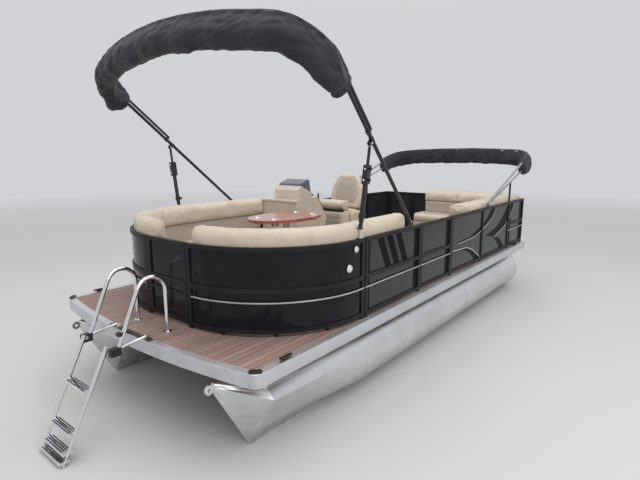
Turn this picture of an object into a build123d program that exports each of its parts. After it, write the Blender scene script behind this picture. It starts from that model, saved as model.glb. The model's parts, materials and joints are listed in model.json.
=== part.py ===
from build123d import *
import math
import os

# A pontoon boat on the ground on its two tubes, with both canopies folded into their boots.
# Millimetres. +X points to the bow, +Y to port, +Z up.
# A station is a distance aft of the bow corner line. A height above the deck starts at deck_top.
os.makedirs("parts", exist_ok=True)

# Driving dimensions of the hull and the deck
BEAM = 2610
DECK_LENGTH = 6000
BOW_BULGE = 95
BOW_RADIUS = 6650
BOW_CORNER = 75
STERN_CORNER = 75
TUBE_DIAMETER = 560
TUBE_SETBACK = 355
TUBE_Y = BEAM / 2 - TUBE_SETBACK
TUBE_END = DECK_LENGTH - 150
KEEL_HEIGHT = 16
KEEL_WIDTH = 36
NOSE_LENGTH = 1420
SEAM_STATION = 3740
SEAM_WIDTH = 16
SEAM_PROUD = 3
RISER_HEIGHT = 60
RISER_WIDTH = 130
RISER_WALL = 6
RISER_STATIONS = (150, TUBE_END - 50)
NOSE_RISER_WIDTH = 60
CROSS_HEIGHT = 76
CROSS_WIDTH = 60
CROSS_WALL = 5
CROSS_PITCH = 400
CROSS_STATIONS = (250, DECK_LENGTH - 250)
BOARD = 18
FLOORING = 3
TRIM_HEIGHT = 100
TRIM_WALL = 5
TRIM_FLANGE = 58
TRIM_PROUD = 2
RIB_COUNT = 9
RIB_DEPTH = 2.5
CASTING_DEPTH = 4
NOTCH_HALF = 185
NOTCH_BACK = -28
CLEAT_STATIONS = (330, DECK_LENGTH - 500)
CLEAT_SIZE = (120, 24, 26)
CAP_SIZE = (150, 42, 14)
SEAT_GAP = 0.3
HINGE_GAP = 7

# Driving dimensions of the motor pod and the outboard's bolt pattern: spacing, drop from the transom's top
POD_HALF = 300
POD_START = DECK_LENGTH - 700
POD_FOOT = 250
POD_BOW_RISE = 230
TRANSOM_STATION = DECK_LENGTH + 110
TRANSOM_RAKE = 12
TRANSOM_PLATE = 12
TRANSOM_DROP = 20
TRANSOM_HOLE = 6.5
TRANSOM_HOLE_DEPTH = 60
TRANSOM_BOLTS = ((327.2, 52), (250.8, 255))

# Driving dimensions of the fence, with heights above the deck
FENCE_FRONT = 285
FENCE_SETBACK = 60
FENCE_SIDE = BEAM / 2 - FENCE_SETBACK
BOW_GATE_HALF = 270
FENCE_RADIUS = FENCE_SIDE - BOW_GATE_HALF
FENCE_STERN = DECK_LENGTH - 70
RAIL = 32
RAIL_TOP = 687
FOOT_HEIGHT = 22
MID_DEPTH = 13
PANEL = 3
POST = 38
BOW_END = 1335
SECTION_GAP = 15
SIDE_GATE = (2365, 3110)
STERN_GATE_WIDTH = 470
LOW_MID = (254, 274)
HIGH_MID = (338, 374)
REAR_POST = 4100
STRIPE_POST = 5220
HINGE_RADIUS = 7
HINGE_LENGTH = 40
HINGE_HEIGHTS = (110, 540)
STERN_GATE_START = POST + HINGE_GAP + RAIL + SEAT_GAP - FENCE_SIDE
STERN_GATE = (STERN_GATE_START, STERN_GATE_START + STERN_GATE_WIDTH)
LEAF_LENGTH = 28
LEAF_THICK = 4

# Driving dimensions of the seats, with heights above the deck
SEAT_HEIGHT = 430
CUSHION = 130
BOLSTER = 134
BOW_BOLSTER_TOP = 785
SIDE_BOLSTER_TOP = 725
STERN_BOLSTER_TOP = 770
BASE_INSET = 40
BASE_DEPTH = 560
CUSHION_DEPTH = 440
PORT_SEAT_END = 2085
STARBOARD_SEAT_END = 2420
STERN_RUN_START = 3700
STERN_RUN_DEPTH = 640
STERN_BENCH_START = DECK_LENGTH - 950
STERN_BENCH_END = DECK_LENGTH - 105
STERN_BENCH_SIDE = -225
STERN_BACK_START = DECK_LENGTH - 560
STERN_BACK_DEPTH = 250

# Driving dimensions of the helm, the chair and the table, with heights above the deck
CONSOLE_YS = (-1060, -465)
HOOD_YS = (-890, -465)
HOOD_CORNER = 60
DASH_TOP = (2827, 840)
DASH_FOOT = (3033, 548)
WHEEL_RADIUS = 165
WHEEL_RIM = 14
WHEEL_STANDOFF = 100
CHAIR_PLACE = (3500, -600)
CHAIR_WIDTH = 490
TABLE_PLACE = (1800, -65)
TABLE_SIZE = (950, 600)
TABLE_TOP = 720
TABLE_THICK = 28
CUP_RADIUS = 42
CUP_WALL = 2.5
CUP_DEPTH = 62

# Driving dimensions of the two biminis, with heights above the deck
BOW_TUBE = 32
SECOND_TUBE = 25
BIMINI_Y = FENCE_SIDE - 14
BOOT_SIDES = 16
PIVOT_HEIGHT = 735
FRONT_PIVOT = 2134
FRONT_ANGLE = 41.2
FRONT_FOLD = 18
FRONT_BOOT_OFFSET = -33
SECOND_START = 1190
SECOND_OFFSET = 38
REAR_PIVOT = 4290
REAR_ANGLE = 19.6
REAR_BOOT_ANGLE = 17
REAR_SECOND_ANGLE = 16
REAR_SECOND_FOOT = (4441, 757)
REST_STATION = 5200
STRUT_FOOT = (1284, 800)
STRUT_JAW_REACH = 1120
STRUT_JAW_DROP = 38
STRUT_TUBE = 40
STRUT_ROD = 24
STRUT_TOP = 482
STRUT_BLOCK = (150, 44, 60)

# Arches of the biminis: splay of the legs in degrees, reach, radius of the crown, radius of the corners
FRONT_ARCH = (4.3, 2330, 4100, 400)
REAR_ARCH = (0, 2150, 5000, 380)

# Boots: start along the leg, width in the arch's plane, height across it
FRONT_BOOT = (1560, 228, 272)
REAR_BOOT = (1470, 190, 270)

# Driving dimensions of the boarding ladder, with heights above the deck
HOOP_Y = 213
HOOP_TUBE = 32
HOOP_FOOT = 130
HOOP_TOP = 460
HOOP_RADIUS = 120
HOOP_LEAN = 23.5
HOOP_END = -35
LADDER_Y = 168
LADDER_LEAN = 26
LADDER_PIVOT = (-318, -8)
LADDER_OFFSET = 29
STEP_DEPTH = 70
STEP_THICK = 22

# The ladder's sections: stringer radius, top, end and step as distances down the stringers
LADDER = (
    (16, -30, 310, 296),
    (13, 270, 600, 586),
    (10, 560, 724, 712),
    (7, 690, 800, 773),
)

# The origin is under the middle of the whole length, from the ladder's last step to the rear boot
boot_lean = math.radians(REAR_BOOT_ANGLE)
boot_reach = math.hypot(REAR_BOOT[1] / 2 * math.cos(boot_lean), REAR_BOOT[2] / 2 * math.sin(boot_lean))
rear_reach = REAR_PIVOT + REAR_ARCH[1] * math.cos(boot_lean) + boot_reach
ladder_reach = LADDER[3][3] * math.sin(math.radians(LADDER_LEAN))
front_reach = LADDER_OFFSET - LADDER_PIVOT[0] + ladder_reach + STEP_DEPTH / 2
BOW_X = (rear_reach - front_reach) / 2

SIDES = (1, -1)
deck_top = KEEL_HEIGHT + TUBE_DIAMETER + RISER_HEIGHT + CROSS_HEIGHT + BOARD + FLOORING
board_top = deck_top - FLOORING
cross_top = board_top - BOARD
cross_bottom = cross_top - CROSS_HEIGHT
tube_radius = TUBE_DIAMETER / 2
tube_z = KEEL_HEIGHT + tube_radius
half_beam = BEAM / 2
flange_top = deck_top + TRIM_PROUD


def at(station, y, z):
    """A point in space from a station, a width and a height over the ground."""
    return (BOW_X - station, y, z)


def up(height):
    """The height over the ground of a height above the deck."""
    return deck_top + height


def side_point(station, height):
    """A point above the deck in a sketch that is drawn on the boat's side plane."""
    return (BOW_X - station, deck_top + height)


def side_plane(y):
    """The side plane at a width: an extrusion from it runs to starboard."""
    return Plane(origin=(0, y, 0), x_dir=(1, 0, 0), z_dir=(0, -1, 0))


def cross_plane(station):
    """The plane square to the length at a station: an extrusion from it runs forward."""
    return Plane(origin=(BOW_X - station, 0, 0), x_dir=(0, 1, 0), z_dir=(1, 0, 0))


def block(stations, ys, zs, mode=Mode.ADD):
    """A box between two stations, two widths and two heights, in the part that is being made."""
    centre = at(sum(stations) / 2, sum(ys) / 2, sum(zs) / 2)
    with Locations(centre):
        Box(abs(stations[1] - stations[0]), abs(ys[1] - ys[0]), abs(zs[1] - zs[0]), mode=mode)


def rod(start, end, radius, mode=Mode.ADD):
    """A round bar from one point to another, in the part that is being made."""
    run = Vector(*end) - Vector(*start)
    with Locations(Plane(origin=start, z_dir=run)):
        Cylinder(radius, run.length, align=(Align.CENTER, Align.CENTER, Align.MIN), mode=mode)


def polar(centre, radius, degrees):
    """A point on a circle in plan, counted from forward towards port."""
    turn = math.radians(degrees)
    return (centre[0] + radius * math.cos(turn), centre[1] + radius * math.sin(turn))


# The deck's outline: a bulged bow edge between two rounded corners, straight sides, a straight stern
bow_centre = (BOW_X + BOW_BULGE - BOW_RADIUS, 0)
corner_y = half_beam - BOW_CORNER
corner_x = bow_centre[0] + math.sqrt((BOW_RADIUS - BOW_CORNER) ** 2 - corner_y ** 2)
bow_turn = math.degrees(math.asin(corner_y / (BOW_RADIUS - BOW_CORNER)))
stern_x = BOW_X - DECK_LENGTH
stern_y = half_beam - STERN_CORNER


def deck_outline(inset):
    """The closed edge of the deck, set in by a distance, in the line that is being made."""
    front = BOW_CORNER - inset
    back = STERN_CORNER - inset
    ends = []
    for side in SIDES:
        bow = (corner_x, side * corner_y)
        stern = (stern_x + STERN_CORNER, side * stern_y)
        start = polar(bow, front, side * bow_turn)
        middle = polar(bow, front, side * (bow_turn + 90) / 2)
        beam = polar(bow, front, side * 90)
        quarter = polar(stern, back, side * 90)
        turn = polar(stern, back, side * 135)
        end = polar(stern, back, 180)
        ThreePointArc(start, middle, beam)
        Line(beam, quarter)
        ThreePointArc(quarter, turn, end)
        ends.append((start, end))
    ThreePointArc(ends[0][0], (BOW_X + BOW_BULGE - inset, 0), ends[1][0])
    Line(ends[0][1], ends[1][1])


def trim_profile(depth):
    """The ribbed edge rail in section: x runs outwards from the deck's edge, y runs up from the foot."""
    pitch = TRIM_HEIGHT / RIB_COUNT
    under = TRIM_HEIGHT - TRIM_PROUD - FLOORING
    points = [(-TRIM_FLANGE, TRIM_HEIGHT), (-TRIM_FLANGE, under), (-TRIM_WALL, under), (-TRIM_WALL, 0)]
    for rib in range(RIB_COUNT):
        low = rib * pitch
        points += [(-depth, low), (0, low + pitch * 0.25), (0, low + pitch * 0.75)]
    points += [(-depth, TRIM_HEIGHT), (-TRIM_FLANGE, TRIM_HEIGHT)]
    Polyline(*points)


# Two pontoons: a tube with welded rings, a keel, and a nose with flat flared sides and a raked stem
# Nose sections: station, chine (half width, z), shoulder (half width, z), top z, keel z
tube_top = tube_z + tube_radius
chine_z = 228
chine_half = math.sqrt(tube_radius ** 2 - (tube_z - chine_z) ** 2)
shoulder_z = 262
shoulder_half = math.sqrt(tube_radius ** 2 - (tube_z - shoulder_z) ** 2)
NOSE_SECTIONS = (
    (-30, (14, 560), (11, 575), 604, 528),
    (270, (272, 442), (205, 510), 616, 2),
    (NOSE_LENGTH, (chine_half, chine_z), (shoulder_half, shoulder_z), tube_top, KEEL_HEIGHT),
)
EYE_HOLE = 13
EYE_OUTER = 34
EYE_NECK = 48
EYE_PLACE = (-62, 565)
EYE_THICK = 14


def nose_section(station, chine, shoulder, top, keel):
    """One section of the nose, in a plane square to the length, with its middle at y = 0."""
    if station == NOSE_LENGTH:
        turn = (math.asin((chine[1] - tube_z) / tube_radius) - math.pi / 2) / 2
        bilge = (tube_radius * math.cos(turn), tube_z + tube_radius * math.sin(turn))
        ThreePointArc((0, keel), bilge, chine)
        ThreePointArc((0, keel), (-bilge[0], bilge[1]), (-chine[0], chine[1]))
    else:
        Line((0, keel), chine)
        Line((0, keel), (-chine[0], chine[1]))
    ThreePointArc(shoulder, (0, top), (-shoulder[0], shoulder[1]))
    Line(chine, shoulder)
    Line((-chine[0], chine[1]), (-shoulder[0], shoulder[1]))


with BuildPart() as pontoon_port:
    with BuildSketch(Plane(origin=at(TUBE_END, TUBE_Y, tube_z), x_dir=(0, 1, 0), z_dir=(1, 0, 0))):
        Circle(tube_radius)
    extrude(amount=TUBE_END - NOSE_LENGTH)
    for section in reversed(NOSE_SECTIONS):
        plane = Plane(origin=at(section[0], TUBE_Y, 0), x_dir=(0, 1, 0), z_dir=(1, 0, 0))
        with BuildSketch(plane):
            with BuildLine():
                nose_section(*section)
            make_face()
    loft(ruled=True)
    for seam in (NOSE_LENGTH + SEAM_WIDTH, SEAM_STATION, TUBE_END):
        with BuildSketch(Plane(origin=at(seam, TUBE_Y, tube_z), x_dir=(0, 1, 0), z_dir=(1, 0, 0))):
            Circle(tube_radius + SEAM_PROUD)
            with Locations((0, tube_radius)):
                Rectangle(RISER_WIDTH + 4 * SEAT_GAP, tube_radius, mode=Mode.SUBTRACT)
        extrude(amount=SEAM_WIDTH)
    block((NOSE_SECTIONS[1][0] + 10, TUBE_END - 200), (TUBE_Y - KEEL_WIDTH / 2, TUBE_Y + KEEL_WIDTH / 2),
          (0, KEEL_HEIGHT + 20))
    with BuildSketch(Plane(origin=at(0, TUBE_Y + EYE_THICK / 2, 0), x_dir=(1, 0, 0), z_dir=(0, -1, 0))):
        with Locations((-EYE_PLACE[0], EYE_PLACE[1])):
            Circle(EYE_OUTER)
        with Locations((-EYE_PLACE[0] - EYE_NECK / 2, EYE_PLACE[1])):
            Rectangle(EYE_NECK, EYE_NECK)
        with Locations((-EYE_PLACE[0], EYE_PLACE[1])):
            Circle(EYE_HOLE, mode=Mode.SUBTRACT)
    extrude(amount=EYE_THICK)
pontoon_port.part.label = "pontoon_port"
export_step(pontoon_port.part, "parts/pontoon_port.step")

with BuildPart() as pontoon_starboard:
    add(mirror(pontoon_port.part, about=Plane.XZ, mode=Mode.PRIVATE))
pontoon_starboard.part.label = "pontoon_starboard"
export_step(pontoon_starboard.part, "parts/pontoon_starboard.step")

# Risers: an inverted channel along the top of each tube, and a bar that tapers to nothing over the nose
nose_top = NOSE_SECTIONS[1][3]
nose_rise = (nose_top - NOSE_SECTIONS[0][3]) / (NOSE_SECTIONS[1][0] - NOSE_SECTIONS[0][0])
riser_front = nose_top - nose_rise * (NOSE_SECTIONS[1][0] - RISER_STATIONS[0])
riser_inner = RISER_WIDTH - 2 * RISER_WALL
riser_middle = (tube_z + cross_bottom) / 2
with BuildPart() as tube_risers:
    with BuildSketch(cross_plane(RISER_STATIONS[1])):
        for side in SIDES:
            with Locations((side * TUBE_Y, riser_middle)):
                Rectangle(RISER_WIDTH, cross_bottom - tube_z)
            with Locations((side * TUBE_Y, riser_middle - RISER_WALL)):
                Rectangle(riser_inner, cross_bottom - tube_z, mode=Mode.SUBTRACT)
            with Locations((side * TUBE_Y, tube_z)):
                Circle(tube_radius + SEAT_GAP, mode=Mode.SUBTRACT)
    extrude(amount=RISER_STATIONS[1] - NOSE_LENGTH)
    for side in SIDES:
        with BuildSketch(Plane(origin=(0, side * TUBE_Y, SEAT_GAP), x_dir=(1, 0, 0), z_dir=(0, -1, 0))):
            with BuildLine():
                Polyline((BOW_X - NOSE_LENGTH, tube_top), (BOW_X - NOSE_SECTIONS[1][0], nose_top),
                         (BOW_X - RISER_STATIONS[0], riser_front), (BOW_X - RISER_STATIONS[0], cross_bottom),
                         (BOW_X - NOSE_LENGTH, cross_bottom), (BOW_X - NOSE_LENGTH, tube_top))
            make_face()
        extrude(amount=NOSE_RISER_WIDTH / 2, both=True)

# Cross members: channels from side to side under the deck board
cross_count = int((CROSS_STATIONS[1] - CROSS_STATIONS[0]) / CROSS_PITCH) + 1
cross_height = CROSS_HEIGHT - SEAT_GAP
cross_places = []
for i in range(cross_count):
    cross_places.append((BOW_X - CROSS_STATIONS[0] - i * CROSS_PITCH, cross_top - cross_height / 2))
with BuildPart() as cross_members:
    with BuildSketch(Plane.XZ):
        with Locations(*cross_places):
            Rectangle(CROSS_WIDTH, cross_height)
        with Locations(*[(x - CROSS_WALL, z) for x, z in cross_places]):
            Rectangle(CROSS_WIDTH, cross_height - 2 * CROSS_WALL, mode=Mode.SUBTRACT)
    extrude(amount=half_beam - TRIM_WALL - SEAT_GAP, both=True)
tube_risers.part.label = "tube_risers"
export_step(tube_risers.part, "parts/tube_risers.step")
cross_members.part.label = "cross_members"
export_step(cross_members.part, "parts/cross_members.step")

# The deck board and its flooring, both with the ladder's notch in the bow edge
# Deck layers: name, inset from the edge, underside, thickness
DECK_LAYERS = (
    ("deck_board", TRIM_WALL + SEAT_GAP, cross_top, BOARD),
    ("deck_flooring", TRIM_FLANGE + SEAT_GAP, board_top, FLOORING),
)
for name, inset, low, thickness in DECK_LAYERS:
    with BuildPart() as layer:
        with BuildSketch(Plane.XY.offset(low)):
            with BuildLine():
                deck_outline(inset)
            make_face()
            with Locations((BOW_X - NOTCH_BACK + BOW_BULGE, 0)):
                Rectangle(2 * BOW_BULGE, 2 * NOTCH_HALF, mode=Mode.SUBTRACT)
        extrude(amount=thickness)
    layer.part.label = name
    export_step(layer.part, f"parts/{name}.step")

# Edge trims: ribbed rails along the sides, the bow and the stern
trim_foot = flange_top - TRIM_HEIGHT
with BuildPart() as deck_trim:
    for side in SIDES:
        start = DECK_LENGTH - STERN_CORNER - SEAT_GAP
        plane = Plane(origin=at(start, side * half_beam, trim_foot), x_dir=(0, side, 0), z_dir=(side, 0, 0))
        with BuildSketch(plane):
            with BuildLine():
                trim_profile(RIB_DEPTH)
            make_face()
        extrude(amount=side * (start - (BOW_X - corner_x) - SEAT_GAP))
    turned = bow_turn - math.degrees(SEAT_GAP / BOW_RADIUS)
    foot = polar(bow_centre, BOW_RADIUS, -turned)
    out = polar((0, 0), 1, -turned)
    plane = Plane(origin=(foot[0], foot[1], trim_foot), x_dir=(out[0], out[1], 0), z_dir=(out[1], -out[0], 0))
    with BuildSketch(plane):
        with BuildLine():
            trim_profile(RIB_DEPTH)
        make_face()
    revolve(axis=Axis((bow_centre[0], bow_centre[1], 0), (0, 0, 1)), revolution_arc=2 * turned)
    block((-BOW_BULGE + TRIM_WALL, NOTCH_BACK), (-NOTCH_HALF, NOTCH_HALF),
          (board_top - TRIM_PROUD, flange_top + 1), Mode.SUBTRACT)
    plane = Plane(origin=(stern_x, stern_y - SEAT_GAP, trim_foot), x_dir=(-1, 0, 0), z_dir=(0, 1, 0))
    with BuildSketch(plane):
        with BuildLine():
            trim_profile(RIB_DEPTH)
        make_face()
    extrude(amount=-2 * (stern_y - SEAT_GAP))
deck_trim.part.label = "deck_trim"
export_step(deck_trim.part, "parts/deck_trim.step")

# Corner castings: centre, radius, first angle, turn
CASTINGS = (
    ((corner_x, corner_y), BOW_CORNER, bow_turn, 90 - bow_turn),
    ((stern_x + STERN_CORNER, stern_y), STERN_CORNER, 90, 90),
)
with BuildPart() as corner_castings:
    for centre, radius, first, turn in CASTINGS:
        foot = polar(centre, radius, first)
        out = polar((0, 0), 1, first)
        plane = Plane(origin=(foot[0], foot[1], trim_foot), x_dir=(out[0], out[1], 0),
                      z_dir=(out[1], -out[0], 0))
        with BuildSketch(plane):
            with BuildLine():
                trim_profile(CASTING_DEPTH)
            make_face()
        revolve(axis=Axis((centre[0], centre[1], 0), (0, 0, 1)), revolution_arc=turn)
    mirror(about=Plane.XZ)
corner_castings.part.label = "corner_castings"
export_step(corner_castings.part, "parts/corner_castings.step")

# Low deck cleats on the side trims, and black pads on the bow corners
with BuildPart() as deck_cleats:
    for station in CLEAT_STATIONS:
        for side in SIDES:
            centre = at(station, side * (half_beam - TRIM_FLANGE / 2), flange_top + CLEAT_SIZE[2] / 2)
            with Locations(centre):
                Box(CLEAT_SIZE[0] * 0.45, CLEAT_SIZE[1] * 0.8, CLEAT_SIZE[2])
            with BuildSketch(Plane.XY.offset(flange_top + CLEAT_SIZE[2] * 0.6)):
                with Locations((centre[0], centre[1])):
                    SlotOverall(CLEAT_SIZE[0], CLEAT_SIZE[1])
            extrude(amount=CLEAT_SIZE[2] * 0.4)
    with BuildSketch(Plane.XY.offset(flange_top)):
        for side in SIDES:
            pad = polar((corner_x, side * corner_y), BOW_CORNER - TRIM_FLANGE / 2, side * 45)
            with Locations(Location((pad[0], pad[1], 0), side * 135)):
                SlotOverall(CAP_SIZE[0] * 0.6, CAP_SIZE[1])
    extrude(amount=CAP_SIZE[2])
deck_cleats.part.label = "deck_cleats"
export_step(deck_cleats.part, "parts/deck_cleats.step")

# The motor pod under the stern, with its raked transom plate and the outboard's bolt holes
rake = math.radians(TRANSOM_RAKE)
transom_top = deck_top - TRANSOM_DROP
transom_foot = TRANSOM_STATION - (transom_top - POD_FOOT) * math.tan(rake)
transom_high = (transom_top - POD_FOOT) / math.cos(rake)
pod_top = cross_bottom - SEAT_GAP
pod_step = (DECK_LENGTH - 2 * TRIM_WALL, DECK_LENGTH + SEAT_GAP)
pod_outline = [(POD_START, pod_top), (pod_step[0], pod_top), (pod_step[0], trim_foot - SEAT_GAP),
               (pod_step[1], trim_foot - SEAT_GAP), (pod_step[1], transom_top),
               (TRANSOM_STATION, transom_top), (transom_foot, POD_FOOT), (POD_START, POD_FOOT + POD_BOW_RISE)]
pod_outline.append(pod_outline[0])
transom_plane = Plane(origin=at(TRANSOM_STATION, 0, transom_top), x_dir=(0, 1, 0),
                      z_dir=(-math.cos(rake), 0, -math.sin(rake)))
with BuildPart() as motor_pod:
    with BuildSketch(Plane.XZ):
        with BuildLine():
            Polyline(*[(BOW_X - station, z) for station, z in pod_outline])
        make_face()
    extrude(amount=POD_HALF, both=True)
    with BuildSketch(transom_plane):
        with Locations((0, transom_high / 2)):
            RectangleRounded(2 * POD_HALF + 60, transom_high, 30)
    extrude(amount=TRANSOM_PLATE)
    with BuildSketch(transom_plane.offset(TRANSOM_PLATE)):
        for spacing, drop in TRANSOM_BOLTS:
            with Locations((-spacing / 2, drop), (spacing / 2, drop)):
                Circle(TRANSOM_HOLE)
    extrude(amount=-TRANSOM_HOLE_DEPTH, mode=Mode.SUBTRACT)
motor_pod.part.label = "motor_pod"
export_step(motor_pod.part, "parts/motor_pod.step")

# The fence: square tube rails and posts, with thin panels let into them
rail_low = (up(FOOT_HEIGHT), up(FOOT_HEIGHT + RAIL))
rail_high = (up(RAIL_TOP - RAIL), up(RAIL_TOP))
panel_zs = (rail_low[1] + SEAT_GAP, rail_high[0] - SEAT_GAP)
panel_inset = MID_DEPTH + SEAT_GAP
curve_centre = (BOW_X - FENCE_FRONT - FENCE_RADIUS, BOW_GATE_HALF)
curve_axis = Axis((curve_centre[0], curve_centre[1], 0), (0, 0, 1))
mid_rails = (LOW_MID, HIGH_MID)


def curved_band(inset, width, first, end):
    """Plan of a strip that follows the port bow corner from an angle to a station."""
    ends = []
    for radius in (FENCE_RADIUS - inset, FENCE_RADIUS - inset - width):
        start = polar(curve_centre, radius, first)
        middle = polar(curve_centre, radius, (first + 90) / 2)
        side = polar(curve_centre, radius, 90)
        finish = (BOW_X - end, side[1])
        ThreePointArc(start, middle, side)
        Line(side, finish)
        ends.append((start, finish))
    Line(ends[0][0], ends[1][0])
    Line(ends[0][1], ends[1][1])


# Curved rails: underside, top, depth
CURVED_RAILS = (
    (rail_low[0], rail_low[1], RAIL),
    (up(LOW_MID[0]), up(LOW_MID[1]), MID_DEPTH),
    (up(HIGH_MID[0]), up(HIGH_MID[1]), MID_DEPTH),
    (rail_high[0], rail_high[1], RAIL),
)
CURVE_FEET = (20, 45, 70)
with BuildPart() as fence_bow_port:
    for low, high, depth in CURVED_RAILS:
        with BuildSketch(Plane.XY.offset(low)):
            with BuildLine():
                curved_band(0, depth, 0, BOW_END)
            make_face()
        extrude(amount=high - low)
    block((FENCE_FRONT + 1, FENCE_FRONT + RAIL), (BOW_GATE_HALF, BOW_GATE_HALF + POST),
          (deck_top, up(RAIL_TOP)))
    block((BOW_END - POST, BOW_END), (FENCE_SIDE - RAIL, FENCE_SIDE), (deck_top, up(RAIL_TOP)))
    for turn in CURVE_FEET:
        foot = polar(curve_centre, FENCE_RADIUS - RAIL / 2, turn)
        with Locations((foot[0], foot[1], up(FOOT_HEIGHT / 2))):
            Cylinder(RAIL / 2 - 2, FOOT_HEIGHT)

# Gates: name, hinge corner on the outer face (station, y), direction along, outward direction, width
GATES = (
    ("bow_gate", (FENCE_FRONT, HINGE_GAP - BOW_GATE_HALF), (0, 1), (1, 0), 2 * (BOW_GATE_HALF - HINGE_GAP)),
    ("side_gate", (SIDE_GATE[0], FENCE_SIDE), (-1, 0), (0, 1), SIDE_GATE[1] - SIDE_GATE[0]),
    ("stern_gate", (FENCE_STERN, STERN_GATE[0]), (0, 1), (-1, 0), STERN_GATE[1] - STERN_GATE[0]),
)
barrel_u = -HINGE_GAP / 2
barrel_v = -RAIL - HINGE_RADIUS - 1.5


def gate_box(gate, us, vs, hs):
    """A box in a gate's directions: along it from its hinge end, outwards, and above the deck."""
    corner, along, outward = gate[1], gate[2], gate[3]
    u = sum(us) / 2
    v = sum(vs) / 2
    wide = abs(us[1] - us[0])
    deep = abs(vs[1] - vs[0])
    x = BOW_X - corner[0] + along[0] * u + outward[0] * v
    y = corner[1] + along[1] * u + outward[1] * v
    with Locations((x, y, up(sum(hs) / 2))):
        Box(abs(along[0]) * wide + abs(outward[0]) * deep, abs(along[1]) * wide + abs(outward[1]) * deep,
            hs[1] - hs[0])


def hinge_halves(gate, side, lift):
    """One half of each of a gate's hinges: a barrel, and a leaf that lies on the post or on the gate."""
    corner, along, outward = gate[1], gate[2], gate[3]
    x = BOW_X - corner[0] + along[0] * barrel_u + outward[0] * barrel_v
    y = corner[1] + along[1] * barrel_u + outward[1] * barrel_v
    for height in HINGE_HEIGHTS:
        low = height + lift * (HINGE_LENGTH + SEAT_GAP)
        with Locations((x, y, up(low + HINGE_LENGTH / 2))):
            Cylinder(HINGE_RADIUS, HINGE_LENGTH)
        gate_box(gate, (barrel_u, barrel_u + side * LEAF_LENGTH), (-RAIL - LEAF_THICK, -RAIL),
                 (low, low + HINGE_LENGTH))


for gate in GATES:
    name, width = gate[0], gate[4]
    with BuildPart() as frame:
        for hs in ((FOOT_HEIGHT, FOOT_HEIGHT + RAIL), (RAIL_TOP - RAIL, RAIL_TOP)):
            gate_box(gate, (0, width), (-RAIL, 0), hs)
        for us in ((0, RAIL), (width - RAIL, width)):
            gate_box(gate, us, (-RAIL, 0), (FOOT_HEIGHT, RAIL_TOP))
        for hs in mid_rails:
            gate_box(gate, (0, width), (-MID_DEPTH, 0), hs)
        hinge_halves(gate, 1, 1)
    frame.part.label = name
    export_step(frame.part, f"parts/{name}.step")
    with BuildPart() as gate_panel:
        gate_box(gate, (RAIL + SEAT_GAP, width - RAIL - SEAT_GAP), (-panel_inset - PANEL, -panel_inset),
                 (FOOT_HEIGHT + RAIL + SEAT_GAP, RAIL_TOP - RAIL - SEAT_GAP))
    gate_panel.part.label = f"{name}_panel"
    export_step(gate_panel.part, f"parts/{name}_panel.step")

with BuildPart() as fence_bow_starboard:
    add(mirror(fence_bow_port.part, about=Plane.XZ, mode=Mode.PRIVATE))
    hinge_halves(GATES[0], -1, 0)
fence_bow_port.part.label = "fence_bow_port"
export_step(fence_bow_port.part, "parts/fence_bow_port.step")
fence_bow_starboard.part.label = "fence_bow_starboard"
export_step(fence_bow_starboard.part, "parts/fence_bow_starboard.step")

# Side fences: each has sections, and in each the stations of its posts' forward edges
side_start = BOW_END + SECTION_GAP
mid_end = SIDE_GATE[0] - HINGE_GAP
rear_start = SIDE_GATE[1] + HINGE_GAP
rear_posts = (rear_start, REAR_POST, STRIPE_POST - POST, FENCE_STERN - POST)
fill_start = mid_end + SECTION_GAP
fill_end = rear_start - SECTION_GAP
# Sections of the fence: side, start, end, posts, stretches with middle rails
SECTIONS = (
    (1, side_start, mid_end, (side_start, mid_end - POST), ((side_start, mid_end),)),
    (1, rear_start, FENCE_STERN, rear_posts, ((STRIPE_POST - POST, FENCE_STERN),)),
    (-1, side_start, mid_end, (side_start, mid_end - POST), ((side_start, mid_end),)),
    (-1, fill_start, fill_end, (fill_start, fill_end - POST), ((fill_start, fill_end),)),
    (-1, rear_start, FENCE_STERN, rear_posts, ((STRIPE_POST - POST, FENCE_STERN),)),
)
for side, name in ((1, "fence_side_port"), (-1, "fence_side_starboard")):
    with BuildPart() as fence:
        for own, start, end, posts, mids in SECTIONS:
            if own != side:
                continue
            ys = (side * (FENCE_SIDE - RAIL), side * FENCE_SIDE)
            block((start, end), ys, rail_low)
            block((start, end), ys, rail_high)
            for post in posts:
                block((post, post + POST), ys, (deck_top, up(RAIL_TOP)))
            for stretch in mids:
                for low, high in mid_rails:
                    block(stretch, (side * (FENCE_SIDE - MID_DEPTH), side * FENCE_SIDE), (up(low), up(high)))
        if side == 1:
            hinge_halves(GATES[1], -1, 0)
    fence.part.label = name
    export_step(fence.part, f"parts/{name}.step")

panel_first = math.degrees(math.asin((POST + SEAT_GAP) / (FENCE_RADIUS - panel_inset - PANEL)))
with BuildPart() as panels_bow:
    with BuildSketch(Plane.XY.offset(panel_zs[0])):
        with BuildLine():
            curved_band(panel_inset, PANEL, panel_first, BOW_END - POST - SEAT_GAP)
        make_face()
        mirror(about=Plane.XZ)
    extrude(amount=panel_zs[1] - panel_zs[0])
panels_bow.part.label = "panels_bow"
export_step(panels_bow.part, "parts/panels_bow.step")

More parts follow.
